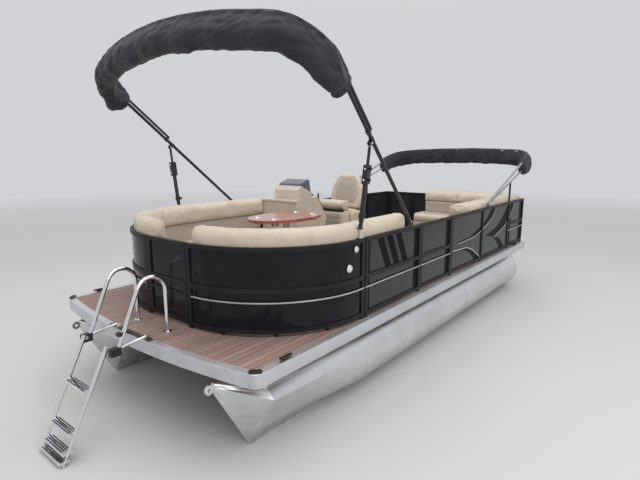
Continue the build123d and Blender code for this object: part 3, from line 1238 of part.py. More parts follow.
# Forked mounts on the rails for the bows and the struts, and a rest for the rear one
cheek_in = EYE_PLATE / 2 + CHEEK_GAP
REST_RADIUS = 14
STRUT_POST = 9
FORK_DROP = 24
FORK_FLOOR = (48, 36, 8)
pin_down = (Vector(0, 0, -1) + strut_pin * strut_pin.Z).normalized()
with BuildPart() as bimini_mounts:
    for side in SIDES:
        for station in (FRONT_PIVOT, REAR_PIVOT, STRUT_FOOT[0]):
            block((station - MOUNT_BASE[0] / 2, station + MOUNT_BASE[0] / 2),
                  (side * (BIMINI_Y - MOUNT_BASE[1] / 2), side * (BIMINI_Y + MOUNT_BASE[1] / 2)),
                  (up(RAIL_TOP), up(RAIL_TOP + MOUNT_BASE[2])))
        for station in (FRONT_PIVOT, REAR_PIVOT):
            for cheek in SIDES:
                ys = (side * BIMINI_Y + cheek * cheek_in, side * BIMINI_Y + cheek * (cheek_in + CHEEK))
                block((station - CHEEK_RADIUS, station + CHEEK_RADIUS), ys, (up(RAIL_TOP), up(PIVOT_HEIGHT)))
                rod(at(station, ys[0], up(PIVOT_HEIGHT)), at(station, ys[1], up(PIVOT_HEIGHT)), CHEEK_RADIUS)
            rod(at(station, side * BIMINI_Y - cheek_in - CHEEK, up(PIVOT_HEIGHT)),
                at(station, side * BIMINI_Y + cheek_in + CHEEK, up(PIVOT_HEIGHT)), PIN_RADIUS)
        # The strut's fork stands on a thin post and is tilted with its pin
        pin, down = to_side(strut_pin, side), to_side(pin_down, side)
        foot = to_side(strut_foot, side)
        floor = foot + down * (FORK_DROP + FORK_FLOOR[2] / 2)
        for cheek in SIDES:
            middle = foot + pin * (cheek * (cheek_in + CHEEK / 2))
            with Locations(Plane(origin=middle, x_dir=down, z_dir=pin)):
                Cylinder(CHEEK_RADIUS, CHEEK)
            with Locations(Plane(origin=middle + down * (FORK_DROP / 2), x_dir=down, z_dir=pin)):
                Box(FORK_DROP + 2, 2 * CHEEK_RADIUS, CHEEK)
        with Locations(Plane(origin=floor, x_dir=down.cross(pin), z_dir=down)):
            Box(FORK_FLOOR[0], FORK_FLOOR[1], FORK_FLOOR[2])
        rod(tuple(foot - pin * (cheek_in + CHEEK)), tuple(foot + pin * (cheek_in + CHEEK)), PIN_RADIUS)
        rod((foot.X, foot.Y, up(RAIL_TOP + MOUNT_BASE[2] / 2)), tuple(floor), STRUT_POST)
        rest_high = rear_second_foot.Z + (REST_STATION - REAR_SECOND_FOOT[0]) * math.tan(second_lean)
        rod(at(REST_STATION, side * BIMINI_Y, up(RAIL_TOP)), at(REST_STATION, side * BIMINI_Y, rest_high),
            REST_RADIUS)
        rod(tuple(to_side(rear_second_ends[0], side)), tuple(to_side(rear_second_ends[1], side)),
            SECOND_TUBE / 2 + SEAT_GAP, Mode.SUBTRACT)
bimini_mounts.part.label = "bimini_mounts"
export_step(bimini_mounts.part, "parts/bimini_mounts.step")

# The boarding ladder's handrails: a hoop on each side, from a foot on the deck over to its hinge block
hoop_top = HOOP_TOP - HOOP_RADIUS
hoop_turn = 180 - HOOP_LEAN
hoop_centre = (HOOP_FOOT - HOOP_RADIUS, hoop_top)
lean_front = math.radians(HOOP_LEAN)
hoop_end = (hoop_centre[0] - HOOP_RADIUS * math.cos(lean_front),
            hoop_centre[1] + HOOP_RADIUS * math.sin(lean_front))
leg_fall = (hoop_end[1] - HOOP_END) / math.cos(lean_front)
hoop_foot = (hoop_end[0] - leg_fall * math.sin(lean_front), HOOP_END)
ARM_RADIUS = 11
ARM_FOOT = (-60, 17)
PAD = (56, 44, 6)
BLOCK = 46
FLANGE = (32, 5)
with BuildPart() as ladder_handrails:
    for side in SIDES:
        y = side * HOOP_Y
        with BuildLine(Plane(origin=(0, y, 0), x_dir=(1, 0, 0), z_dir=(0, -1, 0))) as path:
            Line(side_point(HOOP_FOOT, 0), side_point(HOOP_FOOT, hoop_top))
            ThreePointArc(side_point(HOOP_FOOT, hoop_top), side_point(hoop_centre[0], HOOP_TOP),
                          side_point(*hoop_end))
            Line(side_point(*hoop_end), side_point(*hoop_foot))
        with BuildSketch(Plane(origin=path.line @ 0, z_dir=path.line % 0)):
            Circle(HOOP_TUBE / 2)
        sweep()
        rod(at(HOOP_FOOT, y, up(0)), at(HOOP_FOOT, y, up(FLANGE[1])), FLANGE[0])
        rod(at(hoop_foot[0] + 12, y, up(hoop_foot[1] + 28)), at(ARM_FOOT[0], y, up(ARM_FOOT[1])), ARM_RADIUS)
        block((ARM_FOOT[0] - PAD[0] / 2, ARM_FOOT[0] + PAD[0] / 2), (y - PAD[1] / 2, y + PAD[1] / 2),
              (flange_top, flange_top + PAD[2]))
ladder_handrails.part.label = "ladder_handrails"
export_step(ladder_handrails.part, "parts/ladder_handrails.step")

# The ladder folds at its hinge, and each lower section slides in the one above it
STEP_GRIP = 7
lean = math.radians(LADDER_LEAN)
ladder_down = Vector(math.sin(lean), 0, -math.cos(lean))
ladder_head = Vector(*at(LADDER_PIVOT[0] - LADDER_OFFSET, 0, up(LADDER_PIVOT[1])))
pivot_point = Vector(*at(LADDER_PIVOT[0], 0, up(LADDER_PIVOT[1])))
HINGE_EAR = 14
HINGE_PIN = 7
HINGE_INSET = 3
ear_out = HOOP_Y - HOOP_TUBE / 2 - 8


def down_ladder(distance, y):
    """A point on a stringer's axis from its distance below the hinge's height."""
    point = ladder_head + ladder_down * distance
    return (point.X, y, point.Z)


for number, (radius, top, end, step) in enumerate(LADDER, start=1):
    inner = LADDER[number][0] + SEAT_GAP if number < len(LADDER) else 0
    with BuildPart() as section:
        for side in SIDES:
            y = side * LADDER_Y
            rod(down_ladder(top, y), down_ladder(end, y), radius)
        centre = down_ladder(step, 0)
        with Locations(centre):
            Box(STEP_DEPTH, 2 * LADDER_Y - STEP_GRIP, STEP_THICK)
        if number == 1:
            for side in SIDES:
                ys = (side * (LADDER_Y + HINGE_INSET), side * ear_out)
                rod((pivot_point.X, ys[0], pivot_point.Z), (pivot_point.X, ys[1], pivot_point.Z), HINGE_EAR)
                rod((pivot_point.X, ys[1], pivot_point.Z),
                    (pivot_point.X, side * (HOOP_Y + 4), pivot_point.Z), HINGE_PIN)
        if inner:
            for side in SIDES:
                y = side * LADDER_Y
                bore_top = top + 30 if number == 1 else top - 10
                rod(down_ladder(bore_top, y), down_ladder(end + 40, y), inner, Mode.SUBTRACT)
    section.part.label = f"ladder_section_{number}"
    export_step(section.part, f"parts/ladder_section_{number}.step")

with BuildPart() as ladder_hinge_blocks:
    for side in SIDES:
        y = side * HOOP_Y
        block((LADDER_PIVOT[0] - 20, hoop_foot[0] + BLOCK / 2),
              (side * (HOOP_Y - HOOP_TUBE / 2 - 5), side * (HOOP_Y + 22)),
              (up(HOOP_END - 16), up(LADDER_PIVOT[1] + 18)))
        rod((pivot_point.X, side * LADDER_Y, pivot_point.Z),
            (pivot_point.X, side * (HOOP_Y + 6), pivot_point.Z), HINGE_PIN + SEAT_GAP, Mode.SUBTRACT)
        start = at(hoop_end[0], y, up(hoop_end[1]))
        rod(start, at(hoop_foot[0], y, up(hoop_foot[1])), HOOP_TUBE / 2 + SEAT_GAP, Mode.SUBTRACT)
ladder_hinge_blocks.part.label = "ladder_hinge_blocks"
export_step(ladder_hinge_blocks.part, "parts/ladder_hinge_blocks.step")
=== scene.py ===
# %% [markdown]
# # A pontoon boat with both canopies folded
# The hull, rails, gates and table come packed as exact solids, in metres, and stay as they are.
# This lesson gives them their finishes and makes what a solid can't show: stuffed vinyl cushions with
# their seams and stitches, wrinkled canvas boots, decals, screws and ribs.

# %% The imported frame
import json
import math
import bmesh
import bpy
import numpy as np
from mathutils import Matrix, Vector, noise

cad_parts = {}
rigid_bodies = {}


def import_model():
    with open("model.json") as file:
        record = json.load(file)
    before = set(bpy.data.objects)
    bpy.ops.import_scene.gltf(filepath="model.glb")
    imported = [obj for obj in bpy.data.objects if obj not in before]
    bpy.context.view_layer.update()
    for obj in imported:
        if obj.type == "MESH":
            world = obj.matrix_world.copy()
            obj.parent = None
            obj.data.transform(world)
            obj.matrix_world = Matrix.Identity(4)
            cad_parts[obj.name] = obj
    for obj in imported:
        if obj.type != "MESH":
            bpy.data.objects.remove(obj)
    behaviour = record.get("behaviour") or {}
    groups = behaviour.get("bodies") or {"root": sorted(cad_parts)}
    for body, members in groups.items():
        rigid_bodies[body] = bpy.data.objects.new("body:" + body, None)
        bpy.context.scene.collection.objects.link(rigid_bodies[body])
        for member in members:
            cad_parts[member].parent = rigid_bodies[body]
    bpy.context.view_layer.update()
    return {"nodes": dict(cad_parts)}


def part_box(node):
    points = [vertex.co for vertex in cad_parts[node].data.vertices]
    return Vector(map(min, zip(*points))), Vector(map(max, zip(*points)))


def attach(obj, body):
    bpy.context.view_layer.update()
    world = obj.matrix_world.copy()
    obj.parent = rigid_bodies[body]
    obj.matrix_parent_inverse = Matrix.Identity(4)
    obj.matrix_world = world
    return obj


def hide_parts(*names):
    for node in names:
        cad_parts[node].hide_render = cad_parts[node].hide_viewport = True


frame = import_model()
nodes = frame["nodes"]
BOW_OVERHANG = 0.285
bow_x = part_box("fence_bow_port")[1].x + BOW_OVERHANG
deck_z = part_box("deck_flooring")[1].z
print("bow corner line", round(bow_x, 4), "deck", round(deck_z, 4))


def at(station, y, height):
    """A point from its distance aft of the bow corner line, its width, and its height above the deck."""
    return Vector((bow_x - station, y, deck_z + height))


# %% [markdown]
# ## The camera
# The view is the photograph's: a person standing off the port bow, looking along the boat and a little
# down. A camera is aimed with to_track_quat, which turns its minus Z to a direction and keeps Y up.

# %% Camera
IMAGE_WIDTH = 640
FOCAL_PIXELS = 462
PITCH = math.radians(10.3)
HEADING = (-0.7826, -0.6225)
# The camera stands this far ahead of the bow corner line, to port, and above the ground
CAMERA_PLACE = (1.807, 3.270, 2.079)
lens = bpy.data.cameras.new("camera")
lens.sensor_width = 36
lens.lens = lens.sensor_width * FOCAL_PIXELS / IMAGE_WIDTH
camera = bpy.data.objects.new("camera", lens)
bpy.context.collection.objects.link(camera)
camera.location = (bow_x + CAMERA_PLACE[0], CAMERA_PLACE[1], CAMERA_PLACE[2])
aim = Vector((HEADING[0] * math.cos(PITCH), HEADING[1] * math.cos(PITCH), -math.sin(PITCH)))
camera.rotation_euler = aim.to_track_quat("-Z", "Y").to_euler()
bpy.context.scene.camera = camera
bpy.context.scene.view_settings.view_transform = "Standard"

# %% [markdown]
# ## Writing shader maths as sums
# A material is a graph of nodes, and its maths is easier to read as a formula. Socket wraps one output and
# overloads the operators, so 1 - mask adds a Math node. Wires makes every other node from its type, its
# settings and its inputs.


# %% Sockets and wires
class Socket:
    """An output that can be used in sums, as in 0.5 * mask + 0.1."""

    def __init__(self, wires, socket):
        self.wires = wires
        self.socket = socket

    def maths(self, operation, *values):
        return self.wires.node("ShaderNodeMath", {"operation": operation}, dict(enumerate(values)))

    def __add__(self, other):
        return self.maths("ADD", self, other)

    def __sub__(self, other):
        return self.maths("SUBTRACT", self, other)

    def __rsub__(self, other):
        return self.maths("SUBTRACT", other, self)

    def __mul__(self, other):
        return self.maths("MULTIPLY", self, other)

    def __truediv__(self, other):
        return self.maths("DIVIDE", self, other)

    __radd__ = __add__
    __rmul__ = __mul__

    def fract(self):
        return self.maths("FRACT", self)

    def floor(self):
        return self.maths("FLOOR", self)

    def abs(self):
        return self.maths("ABSOLUTE", self)

    def sine(self):
        return self.maths("SINE", self)

    def ramp(self, low, high):
        """0 up to low, 1 from high on, and a straight rise between them."""
        return self.wires.node("ShaderNodeMapRange", {"clamp": True}, {0: self, 1: low, 2: high})


class Wires:
    """A node tree that is written from Python."""

    def __init__(self, tree):
        self.tree = tree
        tree.nodes.clear()

    def node(self, kind, settings=None, inputs=None, out=0):
        made = self.tree.nodes.new(kind)
        for key, value in (settings or {}).items():
            if key == "stops":
                made.color_ramp.elements[0].position, made.color_ramp.elements[0].color = value[0]
                made.color_ramp.elements[1].position, made.color_ramp.elements[1].color = value[-1]
                for place, colour in value[1:-1]:
                    made.color_ramp.elements.new(place).color = colour
            else:
                setattr(made, key, value)
        for key, value in (inputs or {}).items():
            if isinstance(value, Socket):
                self.tree.links.new(value.socket, made.inputs[key])
            else:
                made.inputs[key].default_value = value
        return Socket(self, made.outputs[out]) if made.outputs else made

    def mix(self, factor, first, second):
        """One colour over another: each is a colour's three numbers or a socket."""
        ends = [end if isinstance(end, Socket) else (*end, 1) for end in (first, second)]
        return self.node("ShaderNodeMix", {"data_type": "RGBA"}, {0: factor, 6: ends[0], 7: ends[1]}, 2)


# %% [markdown]
# ## The studio
# The floor is pale and plain and fades into the same pale grey as the world, so that no horizon cuts the
# picture. The light is soft: a bright even sky, one wide lamp overhead and a weaker one from the side.

# %% Floor, sky and lamps
SKY = (0.79, 0.81, 0.83)
ZENITH = (0.90, 0.91, 0.92)
SKY_STRENGTH = 0.80
FLOOR = (0.60, 0.60, 0.585)
FLOOR_RADIUS = 60
FADE_START = 6
FADE_END = 24
world = bpy.data.worlds.new("sky")
bpy.context.scene.world = world
world.use_nodes = True
sky = Wires(world.node_tree)
way = sky.node("ShaderNodeTexCoord", out="Generated")
rise = sky.node("ShaderNodeSeparateXYZ", inputs={0: way}, out="Z")
glow = sky.node("ShaderNodeBackground",
                inputs={"Color": sky.mix(rise.ramp(0.15, 0.9), SKY, ZENITH), "Strength": SKY_STRENGTH})
sky.node("ShaderNodeOutputWorld", inputs={"Surface": glow})

bpy.ops.mesh.primitive_circle_add(vertices=96, radius=FLOOR_RADIUS, fill_type="NGON")
floor = bpy.context.object
floor.name = "studio_floor"
floor_material = bpy.data.materials.new("studio_floor")
floor_material.use_nodes = True
ground = Wires(floor_material.node_tree)
ground_place = ground.node("ShaderNodeTexCoord", out="Object")
reach = ground.node("ShaderNodeVectorMath", {"operation": "LENGTH"}, {0: ground_place}, "Value")
near = ground.node("ShaderNodeBsdfDiffuse", inputs={"Color": (*FLOOR, 1)})
far = ground.node("ShaderNodeEmission", inputs={"Color": (*SKY, 1), "Strength": SKY_STRENGTH})
floor_mix = ground.node("ShaderNodeMixShader", inputs={0: reach.ramp(FADE_START, FADE_END), 1: near, 2: far})
ground.node("ShaderNodeOutputMaterial", inputs={"Surface": floor_mix})
floor.data.materials.append(floor_material)

# Lamps: name, place, size, power
for name, place, size, power in (("overhead", (1, 1, 9), 10, 520), ("port_side", (5, 9, 5), 5, 190)):
    lamp = bpy.data.lights.new(name, "AREA")
    lamp.size = size
    lamp.energy = power
    holder = bpy.data.objects.new(name, lamp)
    holder.location = place
    holder.rotation_euler = (Vector((0, 0, 0.8)) - Vector(place)).to_track_quat("-Z", "Y").to_euler()
    bpy.context.collection.objects.link(holder)

# %% [markdown]
# ## Finishes
# Every finish starts from where a point is on the boat, in metres, so that its grain keeps its real size.
# Grain is noise that may be stretched along the boat, as rolled and extruded metal is.


# %% A finish
class Finish(Wires):
    """A material with one Principled shader, its place on the object, and grain."""

    def __init__(self, name, **fixed):
        self.material = bpy.data.materials.new(name)
        self.material.use_nodes = True
        super().__init__(self.material.node_tree)
        self.shader = self.tree.nodes.new("ShaderNodeBsdfPrincipled")
        ending = self.tree.nodes.new("ShaderNodeOutputMaterial")
        self.tree.links.new(self.shader.outputs[0], ending.inputs["Surface"])
        self.place = self.node("ShaderNodeTexCoord", out="Object")
        for key, value in fixed.items():
            self.set(key.replace("_", " "), value)

    def set(self, name, value):
        socket = self.shader.inputs[name.title() if name.title() in self.shader.inputs else name]
        if isinstance(value, Socket):
            self.tree.links.new(value.socket, socket)
        else:
            socket.default_value = (*value, 1) if isinstance(value, tuple) else value

    def grain(self, scale, stretch=(1, 1, 1), detail=3, distort=0):
        """Noise with this many spots a metre, from 0 to 1, stretched where stretch is under 1."""
        place = self.node("ShaderNodeMapping", inputs={"Vector": self.place, "Scale": stretch})
        return self.node("ShaderNodeTexNoise",
                         inputs={"Vector": place, "Scale": scale, "Detail": detail, "Distortion": distort})

    def axes(self):
        return [self.node("ShaderNodeSeparateXYZ", inputs={0: self.place}, out=axis) for axis in "XYZ"]

    def bump(self, height, strength, depth=0.001):
        raised = self.node("ShaderNodeBump",
                           inputs={"Height": height, "Strength": strength, "Distance": depth})
        self.tree.links.new(raised.socket, self.shader.inputs["Normal"])


# %% [markdown]
# ### Metals
# The tubes are sheet that was rolled along its length: long faint streaks, a mottled haze, and blotches that
# make them darker and browner towards the bottom. The edge rails and the frame are duller, straight from the
# die.
# The ladder is polished stainless steel, which is nearly a mirror.

# %% Metals
def sheet_metal(name, dark, light, rough, streak=0.35):
    """Aluminium with streaks along the boat, a haze and fine scratches."""
    metal = Finish(name, metallic=1.0)
    streaks = metal.grain(9, (streak / 10, 1, 1), 4)
    haze = metal.grain(2.2, detail=5, distort=0.6)
    scratches = metal.grain(260, (0.02, 1, 1), 2)
    metal.set("Base Color", metal.mix((streaks * 0.6 + haze * 0.5).ramp(0.3, 0.8), dark, light))
    metal.set("Roughness", rough + haze * 0.16 + scratches * 0.08)
    metal.bump(scratches * 0.4 + streaks, 0.12, 0.0006)
    return metal


tube_metal = sheet_metal("rolled_tube_aluminium", (0.60, 0.61, 0.62), (0.86, 0.87, 0.88), 0.20)
_, _, tube_height = tube_metal.axes()
# Blotches that make the tubes darker and browner towards the bottom
low_dark_blotches = tube_height.ramp(0.30, 0.08) * tube_metal.grain(14, detail=6).ramp(0.35, 0.7)
clean = tube_metal.shader.inputs["Base Color"].links[0].from_socket
tube_metal.set("Base Color", tube_metal.mix(low_dark_blotches * 0.5, Socket(tube_metal, clean), (0.36, 0.34, 0.30)))
rail_metal = sheet_metal("extruded_edge_aluminium", (0.56, 0.565, 0.58), (0.76, 0.77, 0.79), 0.40)
frame_metal = sheet_metal("mill_frame_aluminium", (0.40, 0.41, 0.42), (0.60, 0.61, 0.62), 0.42)
silver_tube = sheet_metal("anodised_silver_tube", (0.40, 0.41, 0.43), (0.52, 0.53, 0.55), 0.30)

steel = Finish("polished_stainless", metallic=1.0)
rub = steel.grain(40, detail=4)
steel.set("Base Color", steel.mix(rub, (0.72, 0.73, 0.74), (0.84, 0.85, 0.86)))
steel.set("Roughness", 0.07 + rub * 0.10)
steel.bump(rub, 0.05, 0.0004)

pedestal_metal = sheet_metal("brushed_pedestal", (0.48, 0.48, 0.49), (0.66, 0.66, 0.67), 0.28)

# %% [markdown]
# ### Black coats and panels
# The rails are powder coated, with the faint orange peel such a coat has. The bow panels are gloss black
# sheet under a clear coat, and the side panels a dark charcoal with long dull streaks from polishing.

# %% Coats and panels
def coat(name, dark, light, rough, peel=0.10, clear=0.0, shine=0.5):
    """Paint or powder coat with a cloudy tint, orange peel and dusty patches."""
    paint = Finish(name, coat_weight=clear, coat_roughness=0.06)
    paint.set("Specular IOR Level", shine)
    cloud = paint.grain(5, detail=5)
    dust = paint.grain(30, (0.4, 0.4, 1), 5)
    paint.set("Base Color", paint.mix((cloud * 0.7 + dust * 0.3).ramp(0.3, 0.7), dark, light))
    paint.set("Roughness", rough + cloud * 0.10 + dust.ramp(0.5, 0.8) * 0.08)
    paint.bump(paint.grain(520, detail=2), peel, 0.0004)
    return paint


rail_black = coat("black_powder_coat", (0.012, 0.013, 0.015), (0.022, 0.023, 0.026), 0.36, 0.14, shine=0.15)
gloss_black = coat("gloss_black_panel", (0.006, 0.006, 0.008), (0.012, 0.012, 0.015), 0.10, 0.02, 0.08, 0.15)
band_black = coat("black_band", (0.004, 0.004, 0.005), (0.008, 0.008, 0.009), 0.40, 0.03, shine=0.05)
charcoal = coat("charcoal_panel", (0.022, 0.0225, 0.024), (0.040, 0.041, 0.043), 0.16, 0.03, 0.05, 0.2)
bow_black = coat("black_anodised_tube", (0.014, 0.015, 0.018), (0.030, 0.031, 0.036), 0.26, 0.05, shine=0.35)
black_plastic = coat("black_moulded_plastic", (0.010, 0.010, 0.011), (0.020, 0.020, 0.021), 0.42, 0.35)
soft_black = coat("black_soft_rim", (0.012, 0.012, 0.012), (0.022, 0.021, 0.020), 0.50, 0.5)
pod_blue = coat("dark_blue_grey_screen", (0.060, 0.075, 0.105), (0.085, 0.10, 0.135), 0.12, 0.02, 0.6)
gelcoat = coat("cream_gelcoat", (0.56, 0.485, 0.39), (0.60, 0.525, 0.43), 0.22, 0.02, 0.4)
base_plastic = coat("cream_seat_base", (0.47, 0.40, 0.31), (0.53, 0.455, 0.36), 0.45, 0.25)

# %% [markdown]
# ### The deck
# The floor is woven vinyl that imitates teak: pinkish brown planks with thin dark lines that run along
# the boat. Each plank has its own shade, from a random number for its place across the deck.

# %% Deck flooring and board
PLANK = 0.058
LINE = 0.0042
WEAVE = 0.0032
planks = Finish("woven_teak_vinyl", roughness=0.6)
along, across, _ = planks.axes()
count = (across + 5) / PLANK
edge = (count.fract() - 0.5).abs()
line = edge.ramp(0.5 - LINE / PLANK, 0.5 - 0.5 * LINE / PLANK)
shade = planks.node("ShaderNodeTexWhiteNoise", {"noise_dimensions": "1D"}, {"W": count.floor()}, "Value")
grain = planks.grain(34, (0.06, 1, 1), 6, 0.4)
blotch = planks.grain(3, detail=5)
wood_tint = planks.mix((grain * 0.7 + shade * 0.3).ramp(0.25, 0.8), (0.235, 0.145, 0.122),
                       (0.395, 0.262, 0.228))
worn = planks.mix(blotch.ramp(0.4, 0.8) * 0.25, wood_tint, (0.45, 0.34, 0.31))
planks.set("Base Color", planks.mix(line * 0.85, worn, (0.050, 0.036, 0.033)))
threads = (along * (2 * math.pi / WEAVE)).sine() * (across * (2 * math.pi / WEAVE)).sine()
planks.bump(threads * 0.5 + grain * 0.5 - line * 2, 0.35, 0.0008)
planks.set("Roughness", 0.50 + grain * 0.2)

PLY = 0.0045
ply = Finish("deck_board_edge", roughness=0.7)
_, _, level = ply.axes()
layer = (level * (2 * math.pi / PLY)).sine()
fibre = ply.grain(60, (0.08, 0.08, 1), 5)
ply.set("Base Color", ply.mix((layer * 0.25 + fibre).ramp(0.2, 0.9), (0.16, 0.11, 0.07), (0.34, 0.25, 0.16)))
ply.bump(fibre, 0.4, 0.0006)

# %% [markdown]
# ### Table, vinyl and canvas
# The table is red-brown laminate with a fine speckle under gloss. The seats are cream marine vinyl: a
# leather grain, slightly uneven colour and soft shine. The boots are dark charcoal canvas with a weave.

# %% Table, vinyl and canvas
table_red = Finish("red_speckled_laminate", coat_weight=0.7, coat_roughness=0.08)
speckle = table_red.grain(150, detail=4)
swirl = table_red.grain(9, detail=6, distort=1.5)
mottle = (speckle * 0.5 + swirl * 0.5).ramp(0.3, 0.7)
table_red.set("Base Color", table_red.mix(mottle, (0.27, 0.062, 0.042), (0.50, 0.155, 0.11)))
table_red.set("Roughness", 0.2 + swirl * 0.12)
table_red.bump(speckle, 0.03, 0.0004)


def vinyl(name, dark, light):
    """Marine vinyl: fine leather grain, soft creases and an uneven tint."""
    hide = Finish(name, sheen_weight=0.05)
    tone = hide.grain(3.5, detail=5)
    pores = hide.node("ShaderNodeTexVoronoi", {"feature": "DISTANCE_TO_EDGE"},
                      {"Vector": hide.place, "Scale": 430, "Randomness": 0.9})
    crease = hide.grain(26, detail=5, distort=0.8)
    hide.set("Base Color", hide.mix((tone * 0.7 + crease * 0.3).ramp(0.3, 0.7), dark, light))
    hide.set("Roughness", 0.36 + tone * 0.12 + pores * 0.15)
    hide.bump(pores.ramp(0, 0.35) * 0.35 + crease * 0.8, 0.22, 0.0009)
    return hide


cream = vinyl("cream_marine_vinyl", (0.565, 0.470, 0.365), (0.640, 0.545, 0.435))
beige = vinyl("grey_beige_insert_vinyl", (0.40, 0.345, 0.285), (0.475, 0.415, 0.35))

canvas = Finish("charcoal_canvas", sheen_weight=0.10, sheen_roughness=0.5)
x, y, z = canvas.axes()
YARN_PITCH = 0.0016
yarn = 2 * math.pi / YARN_PITCH
weft = ((x + z * 0.6) * yarn).sine() * (y * yarn).sine()
fade = canvas.grain(4, detail=6, distort=0.5)
canvas.set("Base Color", canvas.mix(fade.ramp(0.3, 0.75), (0.010, 0.012, 0.016), (0.026, 0.029, 0.037)))
canvas.set("Roughness", 0.75 + fade * 0.15)
canvas.bump(weft * 0.3 + canvas.grain(70, detail=6), 0.35, 0.0012)

# %% [markdown]
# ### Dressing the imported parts
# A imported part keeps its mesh, and only its material slots change.

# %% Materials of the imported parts
DRESS = (
    (tube_metal, "pontoon_port pontoon_starboard"),
    (rail_metal, "deck_trim corner_castings motor_pod"),
    (frame_metal, "tube_risers cross_members"),
    (ply, "deck_board"),
    (planks, "deck_flooring"),
    (rail_black, "fence_bow_port fence_bow_starboard fence_side_port fence_side_starboard fence_stern "
                 "bow_gate side_gate stern_gate"),
    (gloss_black, "panels_bow bow_gate_panel"),
    (charcoal, "panels_flat side_gate_panel stern_gate_panel"),
    (steel, "ladder_handrails ladder_section_1 ladder_section_2 ladder_section_3 ladder_section_4 "
            "docking_lights"),
    (black_plastic, "deck_cleats ladder_hinge_blocks helm_controls chair_pedestal chair_slide"),
    (soft_black, "steering_wheel"),
    (gelcoat, "helm_console"),
    (pod_blue, "instrument_pod"),
    (base_plastic, "bow_seat_bases stern_seat_base"),
    (table_red, "table_top"),
    (pedestal_metal, "table_pedestal"),
    (bow_black, "front_bimini_bow front_second_bow front_strut_tube_port front_strut_tube_starboard "
                "front_strut_rod_port front_strut_rod_starboard bimini_mounts"),
    (silver_tube, "rear_bimini_bow rear_second_bow"),
    (canvas, "front_bimini_boot rear_bimini_boot"),
    (cream, "bow_cushion_port bow_cushion_starboard bow_bolster_port bow_bolster_starboard "
            "stern_seat_cushions stern_back_cushions chair_seat chair_back chair_arms"),
)
for finish, names in DRESS:
    for name in names.split():
        nodes[name].data.materials.clear()
        nodes[name].data.materials.append(finish.material)
print("dressed", sum(len(names.split()) for _, names in DRESS), "parts of", len(nodes))

# %% [markdown]
# ## How the cushions are made
# A marine cushion is foam under vinyl that is sewn from panels. Where a seam runs, the thread holds the skin
# down, and between seams the foam pushes it out. So every cushion starts as a skin of rings, a little too
# small, with the points on its seams and on its resting faces pinned. Blender's cloth then blows it up for
# twenty frames, and how far a point may move is capped, as foam caps it.

# %% Skins of rings
# How far apart the rings of a skin stand, how many frames of cloth run, and points on each rounded corner
STEP = 0.022
FRAMES = 20
CORNER_POINTS = 7


def rounded(corners, count):
    """A closed outline of evenly spaced points from corners (across, height, radius), in order."""
    path = []
    number = len(corners)
    for i, (x, y, radius) in enumerate(corners):
        corner = np.array((x, y))
        before = np.array(corners[i - 1][:2]) - corner
        after = np.array(corners[(i + 1) % number][:2]) - corner
        before, after = before / np.linalg.norm(before), after / np.linalg.norm(after)
        half = math.acos(max(-1, min(1, float(before @ after)))) / 2
        reach = radius / math.tan(half)
        middle = corner + (before + after) / np.linalg.norm(before + after) * radius / math.sin(half)
        start, end = corner + before * reach, corner + after * reach
        for share in np.linspace(0, 1, CORNER_POINTS):
            point = start * (1 - share) + end * share - middle
            path.append(middle + point / np.linalg.norm(point) * radius)
    path = np.array(path)
    closed = np.vstack([path, path[:1]])
    runs = np.concatenate([[0], np.cumsum(np.linalg.norm(np.diff(closed, axis=0), axis=1))])
    places = np.linspace(0, runs[-1], count, endpoint=False)
    return np.stack([np.interp(places, runs, closed[:, axis]) for axis in (0, 1)], axis=1)


def skin(name, rings, tops, finishes, tint=None):
    """A closed mesh over rings of points, with one point at each end."""
    count = len(rings[0])
    points = [tuple(point) for ring in rings for point in ring] + [tuple(top) for top in tops]
    faces = []
    shades = []
    for i in range(len(rings) - 1):
        for k in range(count):
            after = (k + 1) % count
            faces.append((i * count + k, i * count + after, (i + 1) * count + after, (i + 1) * count + k))
            shades.append(tint(i, k) if tint else 0)
    last = (len(rings) - 1) * count
    for k in range(count):
        after = (k + 1) % count
        faces.append((len(points) - 2, after, k))
        faces.append((len(points) - 1, last + k, last + after))
        shades += [tint(0, k) if tint else 0, tint(len(rings) - 2, k) if tint else 0]
    mesh = bpy.data.meshes.new(name)
    mesh.from_pydata(points, [], faces)
    for finish in finishes:
        mesh.materials.append(finish.material)
    mesh.polygons.foreach_set("material_index", shades)
    mesh.polygons.foreach_set("use_smooth", [True] * len(faces))
    shell = bmesh.new()
    shell.from_mesh(mesh)
    bmesh.ops.recalc_face_normals(shell, faces=shell.faces)
    shell.to_mesh(mesh)
    shell.free()
    piece = bpy.data.objects.new(name, mesh)
    bpy.context.collection.objects.link(piece)
    return piece


# %% Paths and sweeps
CURVE_STATION = 1.260
GATE_HALF = 0.270
SEAT_FIRST = math.radians(2.5)
CAP_SHARES = (0.985, 0.93, 0.80, 0.58, 0.28)


def lounge_path(side, radius, end, step=STEP):
    """Places and outward directions along the bow curve at a radius, and on aft to a station."""
    frames = []
    turns = math.pi / 2 - SEAT_FIRST
    count = max(2, round(radius * turns / step))
    for i in range(count):
        turn = SEAT_FIRST + turns * i / count
        out = np.array((math.cos(turn), side * math.sin(turn), 0))
        frames.append((np.array((bow_x - CURVE_STATION, side * GATE_HALF, deck_z)) + radius * out, out))
    aft = max(2, round((end - CURVE_STATION) / step))
    for i in range(aft + 1):
        station = CURVE_STATION + (end - CURVE_STATION) * i / aft
        frames.append((np.array(at(station, side * (GATE_HALF + radius), 0)), np.array((0, side, 0))))
    return frames


def straight_path(start, end, out, step=STEP):
    """Places from one (station, y) to another, with one outward direction."""
    start, end = np.array(at(*start, 0)), np.array(at(*end, 0))
    count = max(2, round(np.linalg.norm(end - start) / step))
    return [(start + (end - start) * i / count, np.array((*out, 0))) for i in range(count + 1)]


